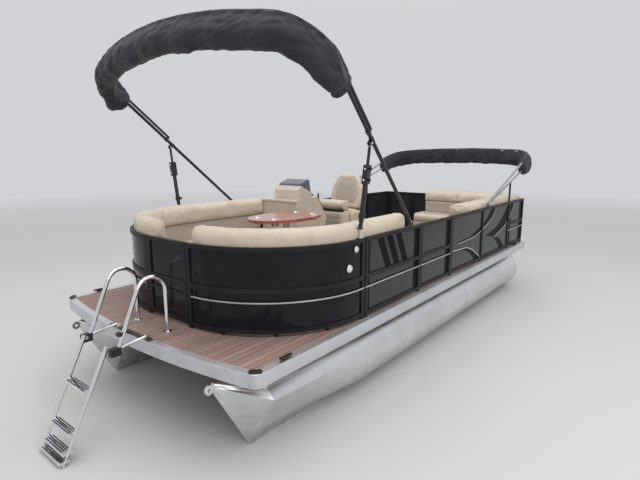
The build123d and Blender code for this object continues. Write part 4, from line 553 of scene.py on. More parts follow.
def cushion_rings(frames, outline, dome=0.012):
    """Rings of a section along a path, closed by domed caps that shrink towards the middle."""
    rise = np.array((0, 0, 1.0))
    rings = [place + out * outline[:, :1] + rise * outline[:, 1:] for place, out in frames]
    caps = []
    for ring, beside in ((rings[0], rings[1]), (rings[-1], rings[-2])):
        middle = ring.mean(axis=0)
        away = middle - beside.mean(axis=0)
        away /= np.linalg.norm(away)
        caps.append([middle + (ring - middle) * share + away * dome * (1 - share * share)
                     for share in CAP_SHARES])
        caps.append(middle + away * dome)
    return caps[0][::-1] + rings + caps[2], (caps[1], caps[3]), len(caps[0])


# %% [markdown]
# ## Stuffing
# Each cushion waits in a list with its pinned points, and one run of the clock stuffs them all at once.

# %% Cushions that wait for their stuffing
SKIN_BENDING = 0.5
waiting = []


def cushion(name, body, replaced, frames, corners, around, pin, finishes, tint=None, cap=0.014,
            pressure=4.0, slack=0.02, dome=0.012):
    """A cushion along a path. pin(i, n, across, height) says which points are sewn or rest on something."""
    outline = rounded(corners, around)
    rings, tops, first = cushion_rings(frames, outline, dome)
    number = len(frames)
    shade = (lambda i, k: tint(i - first, number, *outline[k])) if tint else None
    piece = skin(name, rings, tops, finishes, shade)
    pins = []
    for i in range(len(rings)):
        for k in range(around):
            inside = first <= i < first + number
            edge = i in (first, first + number - 1)
            if edge or (inside and pin(i - first, number, *outline[k])):
                pins.append(i * around + k)
    waiting.append({"piece": piece, "pins": pins, "cap": cap, "pressure": pressure, "slack": slack,
                    "gravity": 0.0, "bending": SKIN_BENDING, "around": around, "first": first,
                    "number": number})
    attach(piece, body)
    if replaced:
        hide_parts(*replaced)
    return piece


def stuff_all():
    """Blows up every waiting skin, caps how far its points moved, and smooths it once."""
    for job in waiting:
        piece = job["piece"]
        group = piece.vertex_groups.new(name="pinned")
        group.add(job["pins"], 1.0, "REPLACE")
        cloth = piece.modifiers.new("stuffing", "CLOTH")
        cloth.settings.quality = 5
        cloth.settings.use_pressure = True
        cloth.settings.uniform_pressure_force = job["pressure"]
        cloth.settings.vertex_group_mass = "pinned"
        cloth.settings.shrink_min = -job["slack"]
        cloth.settings.effector_weights.gravity = job["gravity"]
        cloth.settings.bending_stiffness = job["bending"]
        cloth.collision_settings.use_collision = False
        cloth.point_cache.frame_end = FRAMES
    for number in range(1, FRAMES + 1):
        bpy.context.scene.frame_set(number)
    graph = bpy.context.evaluated_depsgraph_get()
    for job in waiting:
        piece = job["piece"]
        mesh = piece.data
        before = np.empty(len(mesh.vertices) * 3)
        mesh.vertices.foreach_get("co", before)
        after = np.empty_like(before)
        piece.evaluated_get(graph).data.vertices.foreach_get("co", after)
        moved = (after - before).reshape(-1, 3)
        far = np.linalg.norm(moved, axis=1, keepdims=True)
        job["moved"] = float(far.max())
        moved *= job["cap"] * np.tanh(far / job["cap"]) / np.maximum(far, 1e-9)
        mesh.vertices.foreach_set("co", before + moved.ravel())
        piece.modifiers.clear()
        piece.vertex_groups.clear()
        rounding = piece.modifiers.new("rounding", "SUBSURF")
        rounding.levels = rounding.render_levels = 1
    bpy.context.scene.frame_set(1)
    graph = bpy.context.evaluated_depsgraph_get()
    for job in waiting:
        piece = job["piece"]
        plain = bpy.data.meshes.new_from_object(piece.evaluated_get(graph))
        piece.modifiers.clear()
        piece.data = plain
        reached = round(job["moved"] * 1000, 1)
        print(piece.name, "moved up to", reached, "mm,", len(plain.polygons), "faces")


# %% [markdown]
# ## The bow lounges
# Each lounge follows the fence from the bow gate round the corner and aft. It has a fat bolster with a
# rounded top, a lower back in grey-beige with sewn slanting ribs, and a seat whose middle panel is sewn in
# channels. Vertical seams divide the bolster where its foam is cut.

# %% Bow lounges
# Sections: across (outwards), height and corner radius, in order
BOLSTER_RADIUS = 0.868
BOLSTER = ((0.062, 0.608, 0.014), (0.066, 0.812, 0.052), (-0.097, 0.806, 0.060), (-0.100, 0.608, 0.038))
LOWER_BACK = ((0.062, 0.304, 0.012), (0.062, 0.606, 0.012), (-0.058, 0.606, 0.020), (-0.058, 0.304, 0.012))
SEAT_RADIUS = 0.5807
SEAT = ((0.214, 0.303, 0.014), (0.214, 0.424, 0.022), (-0.212, 0.420, 0.036), (-0.212, 0.303, 0.014))
SEAT_PANEL = 0.160
# A channel or a rib is sewn at every so many rings, and the finest skins have rings this far apart
CHANNEL_RINGS = 4
RIB_RINGS = 4
FINE_STEP = 0.0125
SEAT_STEP = 0.018
# Heights: a seat's underside, what a seat hides of its back, and where a seat's top begins
SEAT_REST = 0.31
HIDDEN = 0.43
SEAT_TOP = 0.40
# Bow lounges: word, side, aft end, stations of the bolster's seams
LOUNGES = (("port", 1, 2.085, (0.46, 0.83, 1.42)), ("starboard", -1, 2.420, (0.46, 0.83, 1.33, 1.90)))


def near_ring(frames, station):
    """The number of the ring that is nearest to a station."""
    return min(range(len(frames)), key=lambda i: abs(bow_x - frames[i][0][0] - station))


seams = {}
for word, side, end, stations in LOUNGES:
    frames = lounge_path(side, BOLSTER_RADIUS, end - 0.012)
    sewn = {near_ring(frames, station) for station in stations}
    piece = cushion(f"bow_bolster_{word}_top", "hull", (f"bow_bolster_{word}",), frames, BOLSTER, 44,
                    lambda i, n, o, h, sewn=sewn: h < 0.612 or i in sewn, (cream,),
                    cap=0.010, pressure=2.2, slack=0.01, dome=0.034)
    seams[piece.name] = sorted(sewn)
    frames = lounge_path(side, BOLSTER_RADIUS, end - 0.014, step=FINE_STEP)
    cushion(f"bow_lower_back_{word}", "hull", (), frames, LOWER_BACK, 64,
            lambda i, n, o, h: h < HIDDEN or o > -0.05 or (i + round(h * 80)) % RIB_RINGS == 0, (beige,),
            cap=0.012, pressure=16, slack=0.05)
    frames = lounge_path(side, SEAT_RADIUS, end - 0.006, step=SEAT_STEP)
    cushion(f"bow_seat_{word}", "hull", (f"bow_cushion_{word}",), frames, SEAT, 56,
            lambda i, n, o, h: h < SEAT_REST or (h > SEAT_TOP and (abs(abs(o) - SEAT_PANEL) < 0.009 or (
                abs(o) < SEAT_PANEL and i % CHANNEL_RINGS == 0))), (cream, beige),
            tint=lambda i, n, o, h: int(h > SEAT_TOP and abs(o) < SEAT_PANEL and 1 < i < n - 3),
            cap=0.012, pressure=9)

# %% [markdown]
# ## The stern lounge
# It is an L: a run along the port side and a bench across the stern. Both have two tiers of back, and the
# lower tier is quilted in diamonds, which come from pinning both diagonals of the skin's grid.

# %% Stern lounge
RUN_START = 3.700
RUN_OUTER = 1.195
RUN_FACE = 0.945
BENCH_FACE = 5.440
BENCH_END = 5.895
BENCH_SIDE = -0.225
BACK_SPLIT = 0.350
TIER = 0.605
BACK_FOOT = 0.304
DIAMOND = 8


def diamonds(i, h):
    """True on the two diagonals of a quilted grid, at a ring and a height."""
    row = round((h - 0.3) / FINE_STEP)
    return (i + row) % DIAMOND == 0 or (i - row) % DIAMOND == 0


def box_corners(low, high, bottom, top, inner=0.045, outer=0.040):
    """Section of a back: across from low (its face) to high (its rear), with a soft upper edge."""
    return ((high, bottom, 0.012), (high, top, outer), (low, top, inner), (low, bottom, 0.020))


# %% The run's backs
# Its upper back goes to the bench's end, and its lower back stops at the bench's face
run_out = (0, 1)
run_frames = straight_path((RUN_START + 0.014, RUN_FACE), (BENCH_END - 0.014, RUN_FACE), run_out)
run_sewn = {near_ring(run_frames, station) for station in (4.25, 4.80, 5.36)}
piece = cushion("stern_run_back_top", "hull", ("stern_back_cushions",), run_frames,
                box_corners(-0.004, RUN_OUTER - RUN_FACE - 0.010, TIER, 0.744, 0.055), 48,
                lambda i, n, o, h: h < TIER + 0.004 or i in run_sewn, (cream,), cap=0.013, dome=0.02)
seams[piece.name] = sorted(run_sewn)
lower_frames = straight_path((RUN_START + 0.016, RUN_FACE), (BENCH_FACE - 0.004, RUN_FACE), run_out,
                             FINE_STEP)
cushion("stern_run_back_low", "hull", (), lower_frames,
        box_corners(0.014, RUN_OUTER - RUN_FACE - 0.012, BACK_FOOT, TIER - 0.002, 0.02, 0.012), 72,
        lambda i, n, o, h: h < HIDDEN or o > 0.022 or diamonds(i, h), (beige,),
        cap=0.012, pressure=12, slack=0.04)

# %% The bench's backs
# Its upper back is two cushions, side by side: word, start, end
HALVES = (
    ("starboard", BENCH_SIDE + 0.012, BACK_SPLIT - 0.003),
    ("port", BACK_SPLIT + 0.003, RUN_FACE - 0.006),
)
for word, start, end in HALVES:
    frames = straight_path((BENCH_FACE, start), (BENCH_FACE, end), (-1, 0))
    cushion(f"stern_bench_back_{word}", "hull", (), frames,
            box_corners(0.004, BENCH_END - BENCH_FACE - 0.010, TIER, 0.760, 0.05), 56,
            lambda i, n, o, h: h < TIER + 0.004, (cream,), cap=0.014, dome=0.010)
frames = straight_path((BENCH_FACE, BENCH_SIDE + 0.014), (BENCH_FACE, RUN_FACE - 0.004), (-1, 0),
                       FINE_STEP)
cushion("stern_bench_back_low", "hull", (), frames,
        box_corners(0.018, BENCH_END - BENCH_FACE - 0.012, BACK_FOOT, TIER - 0.002, 0.02, 0.012), 96,
        lambda i, n, o, h: h < HIDDEN or o > 0.026 or diamonds(i, h), (beige,),
        cap=0.012, pressure=12, slack=0.04)

# %% Stern seats
# Their section, and the half width of their channelled panel
STERN_SEAT = ((0.188, 0.303, 0.014), (0.188, 0.422, 0.020), (-0.188, 0.418, 0.034), (-0.188, 0.303, 0.014))
STERN_PANEL = 0.135
# Seats: name, replaced node, start, end, outward
STERN_SEATS = (
    ("stern_run_seat", ("stern_seat_cushions",), (RUN_START + 0.010, 0.750), (5.040, 0.750), (0, 1)),
    ("stern_bench_seat", (), (5.245, BENCH_SIDE + 0.010), (5.245, 0.938), (-1, 0)),
)
for name, replaced, start, end, out in STERN_SEATS:
    cushion(name, "hull", replaced, straight_path(start, end, out, SEAT_STEP), STERN_SEAT, 52,
            lambda i, n, o, h: h < SEAT_REST or (h > SEAT_TOP and (abs(abs(o) - STERN_PANEL) < 0.008 or (
                abs(o) < STERN_PANEL and i % CHANNEL_RINGS == 0))), (cream, beige),
            tint=lambda i, n, o, h: int(h > SEAT_TOP and abs(o) < STERN_PANEL and 1 < i < n - 3),
            cap=0.012, pressure=9)

# %% [markdown]
# ## The captain's chair
# Its back is a moulded shell with rounded shoulders and a softer inset, its seat has a fat roll along the
# front edge, and a padded wing stands at each side. A pad grows from its outline: the outline is drawn in
# towards its middle while it moves through the pad's thickness.

# %% Captain's chair
CHAIR_Y = -0.600
SHELL_DEPTH = 0.092
SHELL_LEAN = math.radians(8)
# The shell's right half: across, up and corner radius
SHELL = ((0.232, 0.004, 0.02), (0.281, 0.130, 0.10), (0.258, 0.290, 0.12), (0.187, 0.425, 0.07),
         (0.130, 0.484, 0.05))
# Through a pad: how far in the outline is drawn, and how deep it lies as a share of the thickness
SHELL_PROFILE = (
    (0.15, 0.0), (0.55, 0.0), (0.85, 0.01), (0.95, 0.06), (0.99, 0.18), (1.0, 0.36), (1.0, 0.55),
    (0.99, 0.75), (0.965, 0.90), (0.92, 0.98), (0.84, 1.0), (0.74, 0.99), (0.68, 0.94), (0.62, 0.99),
    (0.50, 1.02), (0.35, 1.04), (0.15, 1.05),
)
WING_PROFILE = ((0.2, 0.0), (0.7, 0.0), (0.90, 0.03), (0.97, 0.14), (1.0, 0.34), (1.0, 0.66), (0.97, 0.86),
                (0.90, 0.97), (0.7, 1.0), (0.2, 1.0))
SEAM_RING = 12


def pad(name, replaced, outline, origin, across, rise, normal, depth, profile, finishes, tint=None,
        sewn=(), cap=0.008):
    """A pad of the chair whose outline lies in a plane and whose thickness runs along its normal."""
    origin, across, rise, normal = [np.array(way, dtype=float) for way in (origin, across, rise, normal)]
    middle = outline.mean(axis=0)
    rings = []
    for share, deep in profile:
        flat = middle + (outline - middle) * share
        rings.append(origin + across * flat[:, :1] + rise * flat[:, 1:] + normal * depth * deep)
    tops = [origin + across * middle[0] + rise * middle[1] + normal * depth * deep
            for deep in (profile[0][1], profile[-1][1])]
    piece = skin(name, rings, tops, finishes, tint)
    pins = [i * len(outline) + k for i in sewn for k in range(len(outline))]
    waiting.append({"piece": piece, "pins": pins, "cap": cap, "pressure": 3.0, "slack": 0.01, "gravity": 0.0,
                    "bending": SKIN_BENDING, "around": len(outline), "first": 0, "number": len(rings)})
    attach(piece, "chair")
    if replaced:
        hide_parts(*replaced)
    return piece


# %% The chair's back
shell_outline = rounded(SHELL + tuple((-x, y, r) for x, y, r in reversed(SHELL)), 84)
seams["chair_back_shell"] = [SEAM_RING]
shell_rise = (-math.sin(SHELL_LEAN), 0, math.cos(SHELL_LEAN))
shell_front = (math.cos(SHELL_LEAN), 0, math.sin(SHELL_LEAN))
pad("chair_back_shell", ("chair_back",), shell_outline,
    at(3.630, CHAIR_Y, 0.6108) - Vector(shell_front) * SHELL_DEPTH,
    (0, 1, 0), shell_rise, shell_front, SHELL_DEPTH, SHELL_PROFILE, (cream, beige),
    tint=lambda i, k: int(i >= SEAM_RING), sewn=(0, 1, 2, 5, 6, SEAM_RING))

# %% The chair's seat and its roll
SEAT_HALF = 0.239
seat_frames = straight_path((3.450, CHAIR_Y - SEAT_HALF), (3.450, CHAIR_Y + SEAT_HALF), (-1, 0), SEAT_STEP)
cushion("chair_seat_cushion", "chair", ("chair_seat",), seat_frames,
        ((0.200, 0.336, 0.03), (0.200, 0.604, 0.03), (-0.200, 0.604, 0.035), (-0.200, 0.336, 0.05)), 72,
        lambda i, n, o, h: h < 0.345 or (o < -0.17 and round(h / SEAT_STEP) % 4 == 0), (cream, beige),
        tint=lambda i, n, o, h: int(o < -0.17 and 2 < i < n - 4), cap=0.009)
ROLL_STATION = 3.332
ROLL_HEIGHT = 0.682
ROLL_RADIUS = 0.066
roll_frames = straight_path((ROLL_STATION, CHAIR_Y - SEAT_HALF), (ROLL_STATION, CHAIR_Y + SEAT_HALF),
                            (-1, 0), SEAT_STEP)
roll_box = tuple((x * ROLL_RADIUS, ROLL_HEIGHT + y * ROLL_RADIUS, 0.050)
                 for x, y in ((1, -1), (1, 1), (-1, 1), (-1, -1)))
cushion("chair_seat_roll", "chair", (), roll_frames, roll_box, 36,
        lambda i, n, o, h: i in (1, n - 2), (cream,), cap=0.009)

# %% The chair's wings
# Corners: station, height and radius
WING_CORNERS = ((3.384, 0.432, 0.03), (3.378, 0.500, 0.05), (3.380, 0.560, 0.05), (3.404, 0.600, 0.03),
                (3.594, 0.600, 0.02), (3.594, 0.432, 0.02))
WING_STATION = 3.5
WING_INNER = 0.254
WING_DEPTH = 0.050
wing = rounded(tuple((-(x - WING_STATION), y, r) for x, y, r in WING_CORNERS), 48)
# Wings: word, replaced node, how far the pad's inner face stands from the chair's middle
WINGS = (("port", ("chair_arms",), WING_INNER), ("starboard", (), -WING_INNER - WING_DEPTH))
for word, replaced, inner in WINGS:
    pad(f"chair_wing_{word}", replaced, wing, at(WING_STATION, CHAIR_Y + inner, 0), (1, 0, 0), (0, 0, 1),
        (0, 1, 0), WING_DEPTH, WING_PROFILE, (cream,), sewn=(0, 1), cap=0.006)

# %% [markdown]
# ## The boots
# Each folded canopy is zipped into a long canvas bag that hangs over its bows. The bag is laid round the arch
# of the bows, with its cloth cut a little too long, and then gravity and cloth make its drapes: only the line
# over the bows and the two mouths are held.

# %% The bows' arch
BOOT_AROUND = 44
BOOT_STEP = 0.024
PIVOT_HEIGHT = 0.735
BIMINI_Y = 1.231
FRONT_PIVOT = 2.134
FRONT_LEAN = 41.2
REAR_PIVOT = 4.290
LEG_SPLAY = 4.3


def arch_path(splay, reach, crown, radius, start, step):
    """Points (across, along) of a bow from its port leg over to its starboard leg."""
    lean = math.radians(splay)
    way = np.array((math.sin(lean), math.cos(lean)))
    low = reach - crown
    near = np.array((BIMINI_Y - radius * way[1], radius * way[0] - low))
    along = float(near @ way)
    run = math.sqrt(along ** 2 - float(near @ near) + (crown - radius) ** 2) - along
    corner = near + way * run
    turn = math.atan2(corner[1], corner[0])
    corner = corner + np.array((0, low))
    foot = np.array((BIMINI_Y, 0)) + way * start
    first = corner + radius * np.array((math.cos(-lean), math.sin(-lean)))
    points = []
    leg = max(2, round(np.linalg.norm(first - foot) / step))
    points += [foot + (first - foot) * i / leg for i in range(leg)]
    bend = max(4, round(radius * (turn + lean) / step))
    for i in range(bend):
        angle = -lean + (turn + lean) * i / bend
        points.append(corner + radius * np.array((math.cos(angle), math.sin(angle))))
    top = max(4, round(crown * (math.pi / 2 - turn) / step))
    for i in range(top + 1):
        angle = turn + (math.pi / 2 - turn) * i / top
        points.append(np.array((0, low)) + crown * np.array((math.cos(angle), math.sin(angle))))
    points = np.array(points)
    return np.vstack([points, (points[:-1] * (-1, 1))[::-1]])


# %% Boots laid round their bows
# The rough cloth's small folds, its pleats, and how nearly upwards a point faces to be held by the bows
FOLD_LIFT = 0.013
PLEAT_LIFT = 0.024
PLEAT_LEVEL = 0.78
HELD = 0.93
# Boots: name, body, replaced node, pivot's station, lean, way, shift, arch (splay, reach, crown, corner),
# start, rings left off to starboard, half width, half height, droop, how much slimmer the port leg is
BOOTS = (
    ("front_boot", "front_bimini", "front_bimini_boot", FRONT_PIVOT, FRONT_LEAN, 1, -0.033,
     (LEG_SPLAY, 2.330, 4.1, 0.4), 1.650, 4, 0.102, 0.126, 0.040, 0.022),
    ("rear_boot", "rear_bimini", "rear_bimini_boot", REAR_PIVOT, 17.0, -1, 0.0,
     (0, 2.150, 5.0, 0.38), 1.485, 0, 0.084, 0.122, 0.026, 0.0),
)
for name, body, node, station, lean, way, shift, arch, start, cut, wide, high, droop, slimmer in BOOTS:
    lean = math.radians(lean)
    along = np.array((way * math.cos(lean), 0, math.sin(lean)))
    above = np.array((-way * math.sin(lean), 0, math.cos(lean)))
    foot = np.array(at(station, 0, PIVOT_HEIGHT)) + above * shift
    line = arch_path(*arch, start, BOOT_STEP)
    line = line[:len(line) - cut]
    tangents = np.gradient(line, axis=0)
    tangents /= np.linalg.norm(tangents, axis=1, keepdims=True)
    rings = []
    pins = []
    number = len(line)
    for i, (point, tangent) in enumerate(zip(line, tangents)):
        out = np.array((0, 1.0, 0)) * tangent[1] - along * tangent[0]
        out = out if float(out @ (np.array((0, point[0], 0)) + along * (point[1] - 1.2))) > 0 else -out
        end = min(i, number - 1 - i) * BOOT_STEP
        mouth = 0.62 + 0.38 * min(1, end / 0.10) ** 0.6
        slim = slimmer * max(0.0, float(out[1]))
        middle = foot + np.array((0, point[0], 0)) + along * point[1] - out * slim
        ring = []
        for k in range(BOOT_AROUND):
            turn = 2 * math.pi * k / BOOT_AROUND
            ray = out * (wide - slim) * math.cos(turn) + above * high * math.sin(turn)
            place = middle + ray * mouth
            way_up = ray[2] / math.hypot(out[2] * wide, above[2] * high)
            fold = noise.noise(Vector(place) * 7.5) + 0.6 * noise.noise(Vector(place) * 17)
            pleat = 1 - abs(noise.noise(Vector((i * 0.30 + k * 0.42, k * 0.20, 3.0))))
            lift = FOLD_LIFT * fold + PLEAT_LIFT * (pleat - PLEAT_LEVEL)
            ring.append(place + ray / np.linalg.norm(ray) * lift * (1 if way_up < 0.9 else 0.3))
            if way_up > HELD or end < 0.01:
                pins.append(i * BOOT_AROUND + k)
        rings.append(np.array(ring))
    tops = [rings[0].mean(axis=0), rings[-1].mean(axis=0)]
    piece = skin(name, rings, tops, (canvas,))
    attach(piece, body)
    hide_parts(node)
    waiting.append({"piece": piece, "pins": pins, "cap": droop, "pressure": 1.2, "slack": 0.09,
                    "gravity": 1.0, "bending": 0.1, "around": BOOT_AROUND, "first": 0, "number": number})

# %% [markdown]
# ## Stuffing them all
# The clock runs once for every cushion and both boots.

# %% Stuff
stuff_all()

# %% [markdown]
# ## Lines that follow the seams
# Piping, stitches and screws all repeat along a line. Each is a Geometry Nodes tree: the line is a mesh of
# edges, made a curve and swept, or made evenly spaced points that carry small shapes. The tree's sizes are
# its inputs, and its result becomes a plain mesh, since an export would lose instances.

# %% Trees along lines
class Tree(Wires):
    """A Geometry Nodes tree with named inputs for its sizes."""

    def __init__(self, name, sizes):
        self.group = bpy.data.node_groups.new(name, "GeometryNodeTree")
        self.group.interface.new_socket("Geometry", in_out="INPUT", socket_type="NodeSocketGeometry")
        self.ids = {}
        for word, value in sizes.items():
            kind = "NodeSocketMaterial" if value is None else "NodeSocketFloat"
            socket = self.group.interface.new_socket(word, in_out="INPUT", socket_type=kind)
            self.ids[word] = socket.identifier
            if value is not None:
                socket.default_value = value
        self.group.interface.new_socket("Geometry", in_out="OUTPUT", socket_type="NodeSocketGeometry")
        super().__init__(self.group)
        start = self.tree.nodes.new("NodeGroupInput")
        self.inputs = {socket.name: Socket(self, socket) for socket in start.outputs if socket.name}

    def end(self, geometry):
        """Realize Instances, then Set Material, then out."""
        real = self.node("GeometryNodeRealizeInstances", inputs={0: geometry})
        painted = self.node("GeometryNodeSetMaterial",
                            inputs={"Geometry": real, "Material": self.inputs["Material"]})
        self.node("NodeGroupOutput", inputs={0: painted})

    def along_lines(self, name, body, slot, lines, facing=None, **sizes):
        """Runs the tree over lines of points, with a direction each if wanted, and leaves a plain piece."""
        points = [tuple(point) for line, closed in lines for point in line]
        edges = []
        first = 0
        for line, closed in lines:
            edges += [(first + i, first + i + 1) for i in range(len(line) - 1)]
            edges += [(first + len(line) - 1, first)] if closed else []
            first += len(line)
        mesh = bpy.data.meshes.new(name)
        mesh.from_pydata(points, edges, [])
        if facing is not None:
            ways = mesh.attributes.new("facing", "FLOAT_VECTOR", "POINT")
            ways.data.foreach_set("vector", [number for way in facing for number in way])
        piece = bpy.data.objects.new(name, mesh)
        bpy.context.collection.objects.link(piece)
        modifier = piece.modifiers.new("tree", "NODES")
        modifier.node_group = self.group
        for word, value in sizes.items():
            modifier[self.ids[word]] = value
        graph = bpy.context.evaluated_depsgraph_get()
        plain = bpy.data.meshes.new_from_object(piece.evaluated_get(graph))
        piece.modifiers.clear()
        piece.data = plain
        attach(piece, body)
        print(name, len(plain.polygons), "faces")
        return piece


# %% Piping
piping = Tree("piping", {"Radius": 0.004, "Material": None})
curve = piping.node("GeometryNodeMeshToCurve", inputs={0: piping.inputs["Geometry"]})
ring = piping.node("GeometryNodeCurvePrimitiveCircle",
                   inputs={"Resolution": 8, "Radius": piping.inputs["Radius"]})
swept = piping.node("GeometryNodeCurveToMesh",
                    inputs={"Curve": curve, "Profile Curve": ring, "Fill Caps": True})
piping.end(piping.node("GeometryNodeSetShadeSmooth", inputs={"Geometry": swept}))

# %% Stitches
stitches = Tree("stitches", {"Pitch": 0.012, "Length": 0.007, "Radius": 0.0011, "Material": None})
curve = stitches.node("GeometryNodeMeshToCurve", inputs={0: stitches.inputs["Geometry"]})
spaced = stitches.node("GeometryNodeResampleCurve", {"mode": "LENGTH"},
                       {"Curve": curve, "Length": stitches.inputs["Pitch"]})
thread = stitches.node("GeometryNodeMeshCylinder", {"fill_type": "NONE"},
                       {"Vertices": 5, "Radius": stitches.inputs["Radius"],
                        "Depth": stitches.inputs["Length"]})
along = stitches.node("GeometryNodeInputTangent")
turned = stitches.node("FunctionNodeAlignRotationToVector", {"axis": "Z"}, {"Vector": along})
stitches.end(stitches.node("GeometryNodeInstanceOnPoints",
                           inputs={"Points": spaced, "Instance": thread, "Rotation": turned}))

# %% Studs
studs = Tree("studs", {"Pitch": 0.25, "Radius": 0.006, "Height": 0.003, "Material": None})
curve = studs.node("GeometryNodeMeshToCurve", inputs={0: studs.inputs["Geometry"]})
spaced = studs.node("GeometryNodeResampleCurve", {"mode": "LENGTH"},
                    {"Curve": curve, "Length": studs.inputs["Pitch"]})
head = studs.node("GeometryNodeMeshCone",
                  inputs={"Vertices": 10, "Radius Bottom": studs.inputs["Radius"],
                          "Radius Top": studs.inputs["Radius"] * 0.55, "Depth": studs.inputs["Height"]})
facing = studs.node("GeometryNodeInputNamedAttribute", {"data_type": "FLOAT_VECTOR"}, {"Name": "facing"})
turned = studs.node("FunctionNodeAlignRotationToVector", {"axis": "Z"}, {"Vector": facing})
studs.end(studs.node("GeometryNodeInstanceOnPoints",
                     inputs={"Points": spaced, "Instance": head, "Rotation": turned}))

# %% [markdown]
# ### Piping and stitches
# Piping edges the ends of the bolsters and the backs. Beside each seam runs a row of stitches, darker than
# the
# vinyl: partly the thread's own colour, partly painted shade along the seams.

# %% Piping and stitches
# The thread is darker than the vinyl: partly its own colour, partly painted shade along the seams
thread_with_seam_shade = vinyl("seam_thread_with_painted_shade", (0.42, 0.35, 0.27), (0.50, 0.42, 0.33))
jobs = {job["piece"].name: job for job in waiting}


def skin_line(name, ring=None, row=None, lift=0.0):
    """Points of a ring round a cushion, or of a row along it, raised off its skin by a distance."""
    job = jobs[name]
    around, first, number = job["around"], job["first"], job["number"]
    if row is None:
        places = [(first + ring) * around + k for k in range(around)]
    else:
        places = [(first + i) * around + row for i in range(number)]
    vertices = job["piece"].data.vertices
    return [np.array(vertices[i].co) + lift * np.array(vertices[i].normal) for i in places]


PIPED = {"hull": [], "chair": []}
SEWN = {"hull": [], "chair": []}
for name, job in jobs.items():
    body = "chair" if name.startswith("chair") else "hull"
    if name.endswith("boot") or "wing" in name:
        continue
    if name == "chair_back_shell":
        SEWN[body].append((skin_line(name, SEAM_RING, lift=0.001), True))
        continue
    last = job["number"] - 1
    if "low" not in name:
        PIPED[body] += [(skin_line(name, 0), True), (skin_line(name, last), True)]
    for ring in seams.get(name, ()):
        SEWN[body].append((skin_line(name, ring + 1, lift=0.0006), True))
        SEWN[body].append((skin_line(name, ring - 1, lift=0.0006), True))
for body, lines in PIPED.items():
    piping.along_lines(f"{body}_seat_piping", body, "seat_vinyl", lines, Radius=0.0042,
                       Material=cream.material)
for body, lines in SEWN.items():
    stitches.along_lines(f"{body}_seat_stitches", body, "seat_vinyl", lines,
                         Material=thread_with_seam_shade.material)

# %% [markdown]
# ### Zips of the boots
# A zip closes each boot along the outer edge of its upper side.

# %% Zips
ZIP_ROW = 6
zip_black = coat("black_zip", (0.010, 0.011, 0.013), (0.030, 0.031, 0.034), 0.28, 0.6)
for name, body in (("front_boot", "front_bimini"), ("rear_boot", "rear_bimini")):
    piping.along_lines(f"{name}_zip", body, "boot_canvas", [(skin_line(name, row=ZIP_ROW), False)],
                       Radius=0.0045, Material=zip_black.material)

# %% [markdown]
# ## Decals and painted highlights
# The decals are film on the panels: black bands beside the posts, three slanted stripes, and swooshes with a
# bright edge, which is a painted highlight of the bent rails. Each is drawn as small four-sided pieces
# between two edges, and each piece is cut off where the panel ends. A thin bright strip runs along the lower
# middle
# rails: partly a bright trim, partly a painted highlight.

# %% Decals
# How far the film stands off the panel, and how thick it is
FILM = 0.0008
FILM_THICKNESS = 0.0005
face_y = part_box("panels_flat")[1].y
gate_low, gate_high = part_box("side_gate_panel")
panel_bottom, panel_top = gate_low.z - deck_z, gate_high.z - deck_z
# The panels between the posts, and the filler panel to starboard: first and last station
SPANS = ((1.389, 2.319), (3.156, 4.099), (4.139, 5.181), (5.221, 5.891))
FILLER_SPAN = (2.412, 3.063)
GATE_BAND = (2.985, 3.10)
GATE_SPAN = (bow_x - gate_high.x, bow_x - gate_low.x)
FULL = (panel_bottom, panel_top)


def clip(polygon, low, high):
    """The part of a convex polygon of (station, height) inside a box."""
    for axis in (0, 1):
        for limit, way in ((low[axis], 1), (high[axis], -1)):
            kept = []
            for i, point in enumerate(polygon):
                before = polygon[i - 1]
                inside = way * (point[axis] - limit) >= 0
                if inside != (way * (before[axis] - limit) >= 0):
                    share = (limit - before[axis]) / (point[axis] - before[axis])
                    kept.append(before + (point - before) * share)
                if inside:
                    kept.append(point)
            polygon = kept
    return polygon


def smooth_line(points, count=6):
    """Points along a curve through the given points."""
    points = np.array(points, dtype=float)
    padded = np.vstack([2 * points[0] - points[1], points, 2 * points[-1] - points[-2]])
    made = []
    for i in range(1, len(padded) - 2):
        a, b, c, d = padded[i - 1:i + 3]
        for share in np.linspace(0, 1, count, endpoint=False):
            made.append(0.5 * (2 * b + (c - a) * share + (2 * a - 5 * b + 4 * c - d) * share ** 2
                               + (3 * b - a - 3 * c + d) * share ** 3))
    return np.array(made + [points[-1]])


def between(first, second):
    """Four-sided pieces between two edges that have the same number of points."""
    return [np.array((first[i], first[i + 1], second[i + 1], second[i])) for i in range(len(first) - 1)]


def beside(edge, width):
    """Pieces of a thin line along an edge."""
    way = np.gradient(edge, axis=0)
    across = np.stack([-way[:, 1], way[:, 0]], axis=1) / np.linalg.norm(way, axis=1, keepdims=True)
    return between(edge, edge + across * width)


# %% Film
def film(name, body, finish, pieces, spans, sides, lift=FILM):
    """Thin film on the panels, made of pieces cut to the spans between the posts."""
    shell = bmesh.new()
    for side in sides:
        for start, end in spans:
            for piece in pieces:
                part = clip(list(piece), (start, panel_bottom), (end, panel_top))
                if len(part) > 2:
                    shell.faces.new([shell.verts.new(at(s, side * (face_y + lift), h)) for s, h in part])
    bmesh.ops.remove_doubles(shell, verts=shell.verts, dist=1e-6)
    bmesh.ops.recalc_face_normals(shell, faces=shell.faces)
    bmesh.ops.solidify(shell, geom=shell.faces[:], thickness=FILM_THICKNESS)
    bmesh.ops.recalc_face_normals(shell, faces=shell.faces)
    mesh = bpy.data.meshes.new(name)
    shell.to_mesh(mesh)
    shell.free()
    mesh.materials.append(finish.material)
    made = bpy.data.objects.new(name, mesh)
    bpy.context.collection.objects.link(made)
    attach(made, body)


def band(start, end, low=FULL, shift=0.0):
    """One slanted or upright band from the panel's top to its bottom."""
    bottom, top = low
    return np.array(((start, top), (end, top), (end + shift, bottom), (start + shift, bottom)))


